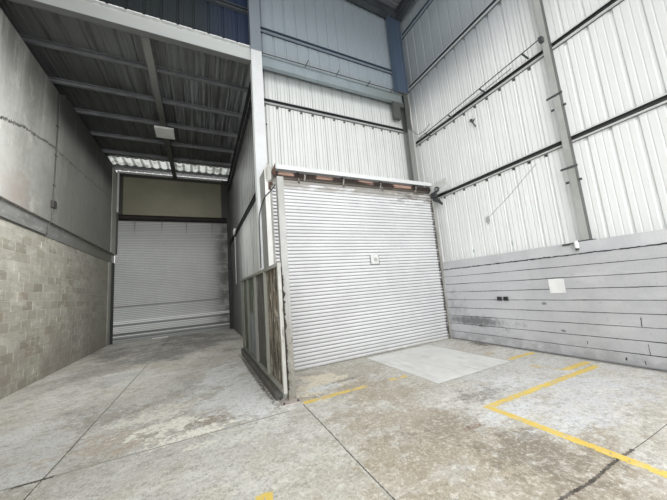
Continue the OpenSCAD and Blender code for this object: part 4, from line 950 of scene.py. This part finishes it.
# Gusset steel: bare, brown and pitted.
put("jamb_gusset", [plate([(0.075, 4.19), (0.17, 4.02), (0.18, 4.41)], "Y", -1.275, -1.267, 0.001),
                    plate(rect(0.012, 3.80, 0.055, 3.97), "Y", -1.285, -1.258, 0.003),
                    plate(rect(0.06, 3.90, 0.10, 3.97), "Y", -1.285, -1.262, 0.003)],
    aged("rusty_gusset_steel", "3d2d26", "5b463b", tint_mm=90, grain_mm=9, grain=0.15, run_mm=70, run=0.4,
         dirt="2d1e18", rough=0.85, bump_mm=0.8), close=True)
put("jamb_cable", [tube([(0.22, -1.285, 3.985), (0.14, -1.29, 3.90), (0.05, -1.29, 3.77), (-0.06, -1.28, 3.66),
                         (-0.082, -1.15, 3.60), (-0.085, -0.90, 3.52), (-0.10, -0.80, 3.43), (-0.115, -0.795, 3.30),
                         (-0.118, -0.795, 2.84), (-0.12, -0.795, 2.24)], 0.011, step_m=0.02, rounds=6)],
    black_plastic, close=True)
put("spring_cup", [turned([(0, 0.0), (0.068, 0.0), (0.075, 0.012), (0.075, 0.04), (0.06, 0.05), (0.03, 0.05),
                           (0.03, 0.01), (0, 0.01)], (4.594, -1.39, 4.155), "X"),
                   plate([(-1.18, 3.90), (-1.22, 3.97), (-1.40, 3.90), (-1.52, 3.72), (-1.49, 3.68), (-1.36, 3.80)],
                         "X", 4.60, 4.64, 0.003),
                   plate(rect(-1.36, 3.95, -1.18, 4.10), "X", 4.58, 4.65, 0.003)],
    bar_steel, close=True)
put("spring_cup_rim", [turned([(0.030, 0.0), (0.036, 0.0), (0.036, 0.008), (0.030, 0.008)],
                              (4.586, -1.39, 4.155), "X"),
                       turned([(0, 0), (0.012, 0), (0.012, 0.01), (0, 0.012)], (4.635, -1.36, 3.81), "X", 12)],
    white_gloss, close=True)
# Plate enamel: white, with dirt along its folded edges and a worn patch in its middle.
put("bare_number_plate", [plate(rect(2.37, 2.17, 2.63, 2.41), "Y", -1.176, -1.160, 0.002)],
    aged("number_plate_enamel", "dcdddc", "cfd0cf", tint_mm=120, grain_mm=8, grain=0.15, run_mm=30, run=0.4,
         dirt="9c9b95", rough=0.4, bump_mm=0.1, marks=[
        *[("6f7070", rise(*side), 0.9) for side in (("X", 2.392, 2.386), ("X", 2.608, 2.614), ("Z", 2.196, 2.19))],
        ("8b8c8c", stain((2.52, -1.17, 2.29), (0.07, ANY, 0.07), 0.5, 3, 40), 0.7)]), close=True)

# Guard screen.
# A welded frame of square tube beside the post, clad with corrugated sheet that has rusted through its
# paint in the bay nearest the post and gone dull green-grey in the others. It stands on a greasy kerb.
SECOND_BAY, THIRD_BAY = -1.62, -0.6
past_first = rise("Y", SECOND_BAY - 0.04, SECOND_BAY)
on_kerb = rise("Z", 0.31, 0.285)


def brown_bay(tree, place, colour):
    """Brown rust and flakes of pale paint in the bay next to the post."""
    brown = wear(tree, place, linear("7b7467"), [
        ("3f3b33", blotches(60, 0.45, 0.56, (1, 1, 0.08), 6)),
        ("aaa597", blotches(90, 0.53, 0.60, (1, 1, 0.3), 8, 0.72), 0.8),
        ("5c4636", blotches(110, 0.55, 0.60, (1, 1, 0.5), 8, 0.72), 0.7)])
    return coat(tree, place, colour, brown, rise("Y", SECOND_BAY, SECOND_BAY - 0.04))


# Corrugated sheet: thin steel whose paint has weathered off in long runs. Bay by bay it is brown, dark grey,
# and green over blue-grey.
dress(aged("weathered_corrugated_sheet", "4f5548", "444a3f", tint_mm=400, grain=0.3, run_mm=50, run=0.45,
           dirt="2b2c27", rough=0.75, bump_mm=0.5, marks=[
    brown_bay, ("4b4945", past_first, rise("Y", THIRD_BAY, THIRD_BAY - 0.04), 0.85),
    ("9a9b97", past_first, blotches(60, 0.56, 0.62, (1, 1, 0.06), 6), 0.7),
    ("777b7c", rise("Y", THIRD_BAY - 0.02, THIRD_BAY), rise("Z", 1.35, 1.2), rise("Y", 0.42, 0.40), 0.8),
    ("24241f", rise("Z", 1.5, 0.6), blotches(45, 0.52, 0.60, (1, 1, 0.06), 6), 0.6)]), "guard_screen_sheets")
# Frame paint: dirty white by the post, with soot that deepens on the bars away from it, and a greasy kerb.
dress(aged("frame_tube_paint", "b6b6b1", "a4a39d", **DIRTY_WHITE, marks=[
    ("6b675d", blotches(70, 0.53, 0.60, (1, 1, 0.3), 8, 0.72), 0.7), ("8b8c82", rise("Y", -2.5, -1.8), 0.8),
    ("5b5e58", rise("Y", -1.2, 0.2), 0.75), ("41423f", on_kerb, 0.96),
    ("77736a", on_kerb, blotches(60, 0.54, 0.61, (1, 0.3, 1), 8, 0.72), 0.6),
    ("211f1c", on_kerb, blotches(130, 0.53, 0.60, (1, 0.5, 1), 8, 0.72), 0.75),
    ("4a3b35", on_kerb, blotches(300, 0.5, 0.6), 0.6)]), "guard_screen_frame")
# Post paint: grey, with rust and scrapes on its lower metre, over a pale base plate.
dress(aged("post_paint", "aaaba9", "9c9c99", foot=0.6, **DIRTY_WHITE, marks=[
    ("7f7d75", rise("Z", 1.45, 0.55), blotches(90, 0.4, 0.55, (1, 1, 0.4), 7, 0.7), 0.85),
    ("5e5c55", rise("X", -0.255, -0.268), blotches(90, 0.4, 0.55), 0.6),
    ("6e5644", rise("Z", 1.2, 0.4), blotches(70, 0.55, 0.60, (1, 1, 0.5), 7), 0.7),
    ("8b877c", rise("Z", 1.7, 0.9), 0.55),
    ("4f4a41", rise("Z", 1.6, 0.7), blotches(30, 0.54, 0.60, (1, 1, 0.6), 6, 0.7), 0.75),
    ("dccfc9", rise("Z", 0.166, 0.162), 0.8)]), "guard_post")
# A ragged black strip between the screen and the post: painted shade in the gap between them.
put("screen_edge_strip", [ribbon((-0.178, -2.615, 1.95), (-0.178, -2.615, 0.32), 0.042, FRONT, 0.45, 0.03, 131,
                                 0.002, 0.0)],
    aged("gap_shade_strip", "25221e", "3d382f", tint_mm=90, grain_mm=8, grain=0.3, rough=0.8))
post_low, post_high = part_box("guard_post")
put("post_fixings", [turned([(0, 0.0), (0.016, 0.0), (0.016, 0.012), (0.009, 0.013), (0.009, 0.03), (0, 0.031)],
                            (x, y, FLOOR_Z + 0.009), "Z", 6) for x in (post_low[0] + 0.03, post_high[0] - 0.03)
                     for y in (post_low[1] + 0.03, post_high[1] - 0.03)]
    + [tube([(-0.255, -2.66, 1.34), (-0.27, -2.70, 1.345), (-0.33, -2.705, 1.35)], 0.009, step_m=0.015)],
    bar_steel, close=True)

# Far end of the lane.
# A second, taller shutter in old grey enamel, with a beige sandwich panel over it in a white steel frame.
# A strip of ribbed translucent roofing lets daylight in just before it.
BANDS = (  # dark and pale slats low on the curtain: level, half width, tone
    (1.63, 0.04, "55575a"), (0.99, 0.07, "f4f6f5"), (0.86, 0.035, "4c4e50"), (0.51, 0.045, "2f3233"),
    (0.42, 0.03, "eef0ef"), (0.32, 0.04, "2b2d2e"))
# Old enamel: dusty at the top and pale at the foot, with a dark right side, a gap of light under it and four
# thin drips from the barrel.
dress(aged("grey_baked_enamel", "cccecd", "c2c4c3", tint_mm=1200, grain=0.08, run_mm=90, run=0.15, drawn=0.08,
           dirt="7c7c77", rough=0.42, bump_mm=0.0, marks=[
    ("9a9a97", rise("Z", 3.6, 5.4), 0.85), ("e2e4e3", rise("Z", 1.7, 0.5), 0.8),
    ("8b8c87", rise("X", -1.2, -0.1), 0.7), ("3c3d3b", rise("X", -0.75, -0.15), blotches(500, 0.35, 0.6), 0.75),
    ("8a8d8b", rise("Z", 0.56, 0.46), 0.8),
    *[(tone, rise("Z", level - half, level - half + 0.015), rise("Z", level + half, level + half - 0.015), 0.75)
      for level, half, tone in BANDS],
    ("ffffff", rise("Z", 0.185, 0.18), rise("X", -3.2, -3.18), rise("X", -2.58, -2.6)),
    # Slat joints, with painted shade towards the top of each slat.
    *slat_joints_and_shade("646562", 0.75), ("262626", rise("Z", 5.345, 5.36), 0.95),
    *[("4d4c48", 0.6, stain((x, 7.9, 5.4), (0.05, ANY, length), 0.9, 0.5, 60))
      for x, length in ((-3.88, 0.9), (-2.84, 0.7), (-1.84, 0.9), (-0.71, 1.0))]]), "far_shutter_curtain")
panel_low, panel_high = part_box("lane_end_panel")
# Panel coat: beige and flat, painted near black as shade at both ends and under the roof.
dress(aged("beige_panel_coat", "74725f", "6b6957", tint_mm=1500, grain=0.08, run_mm=120, run=0.2, dirt="55533f",
           bump_mm=0.0, marks=[("191917", rise(*side), 0.92) for side in (
               ("X", panel_low[0] + 0.24, panel_low[0] + 0.20), ("X", panel_high[0] - 0.34, panel_high[0] - 0.28),
               ("Z", panel_high[2] - 0.24, panel_high[2] - 0.2))]), "lane_end_panel")
# Frame paint: white, but for the rail over the barrel, which is black with grease, and the right post.
dress(aged("white_frame_paint", "b9bab6", "a9aaa6", run=0.3, dirt="6d6c66", rust=0.05, rough=0.42, **GLOSS, marks=[
    ("232424", rise("Z", 5.76, 5.72), 0.95), ("3a3b3a", rise("X", -0.3, -0.2), 0.9)]), "lane_end_frame")
# Post paint: black and dull, also on the far guides and the lane's girts.
dress(aged("black_post_paint", "1f2122", "2a2c2c", tint_mm=400, rough=0.6, bump_mm=0.3), "far_shutter_post",
      "far_shutter_guides", "lane_side_girts")
put("far_barrel_backplate", [plate(rect(-4.60, 5.22, 0.04, 5.76), "Y", 8.124, 8.136, 0.001)], blackened,
    close=True)
# Opal acrylic: the lamp's milky cover.
dress(aged("opal_acrylic", "d8dad5", "cccec9", tint_mm=300, grain=0.06, rough=0.35, bump_mm=0.0), "lane_lamp")
put("side_wall_box", [plate(rect(5.45, 4.32, 5.85, 4.55), "X", 0.04, 0.126, 0.008),
                      tube([(0.10, 5.72, 4.33), (0.10, 5.73, 2.2)], 0.014)], white_gloss, close=True)
strip_x, strip_y = np.linspace(-4.6, 0.1, 189), np.array([6.62, 6.8, 7.1, 7.38])
wave = np.stack(np.broadcast_arrays(strip_x[None, :], strip_y[:, None],
                                    (7.738 + 0.024*np.cos(2*math.pi*strip_x/RIB))[None, :]), -1)
# Glass-fibre sheet: it glows with painted daylight, less where dust lies on top, and painted shade darkens the hollows
# of its waves.
daylight, tree, shader = blank("translucent_roof_sheet")
glow = wear(tree, add(tree, "TexCoord").outputs["Object"], linear("dfe3df"), [
    ("9a9d97", blotches(500, 0.45, 0.6)), ("55564f", rise("Z", 7.742, 7.758), 0.7)])
tree.links.new(glow.outputs[0], shader.inputs["Base Color"])
tree.links.new(glow.outputs[0], shader.inputs["Emission Color"])
shader.inputs["Emission Strength"].default_value = 0.75
shader.inputs["Roughness"].default_value = 0.5
put("translucent_roof_strip", [wave[:, ::-1], wave + [0, 0, 0.003]], daylight)

# Stage.
# A plain pale floor that the section stands on, which isn't part of it.
STAGE_HALF, STAGE_Z = 40, -0.001
stage_mesh = bpy.data.meshes.new("stage_floor")
stage_mesh.from_pydata([(x*STAGE_HALF, y*STAGE_HALF, STAGE_Z) for x, y in ((-1, -1), (1, -1), (1, 1), (-1, 1))], [],
                       [(0, 1, 2, 3)])
stage = enter("stage_floor", stage_mesh)
stage_paint, tree, shader = blank("stage_paint")
stage_tone = coat(tree, None, linear("74746f"), "dededc", seen(tree))
tree.links.new(stage_tone.outputs[0], shader.inputs["Base Color"])
shader.inputs["Roughness"].default_value = 0.9
stage_mesh.materials.append(stage_paint)
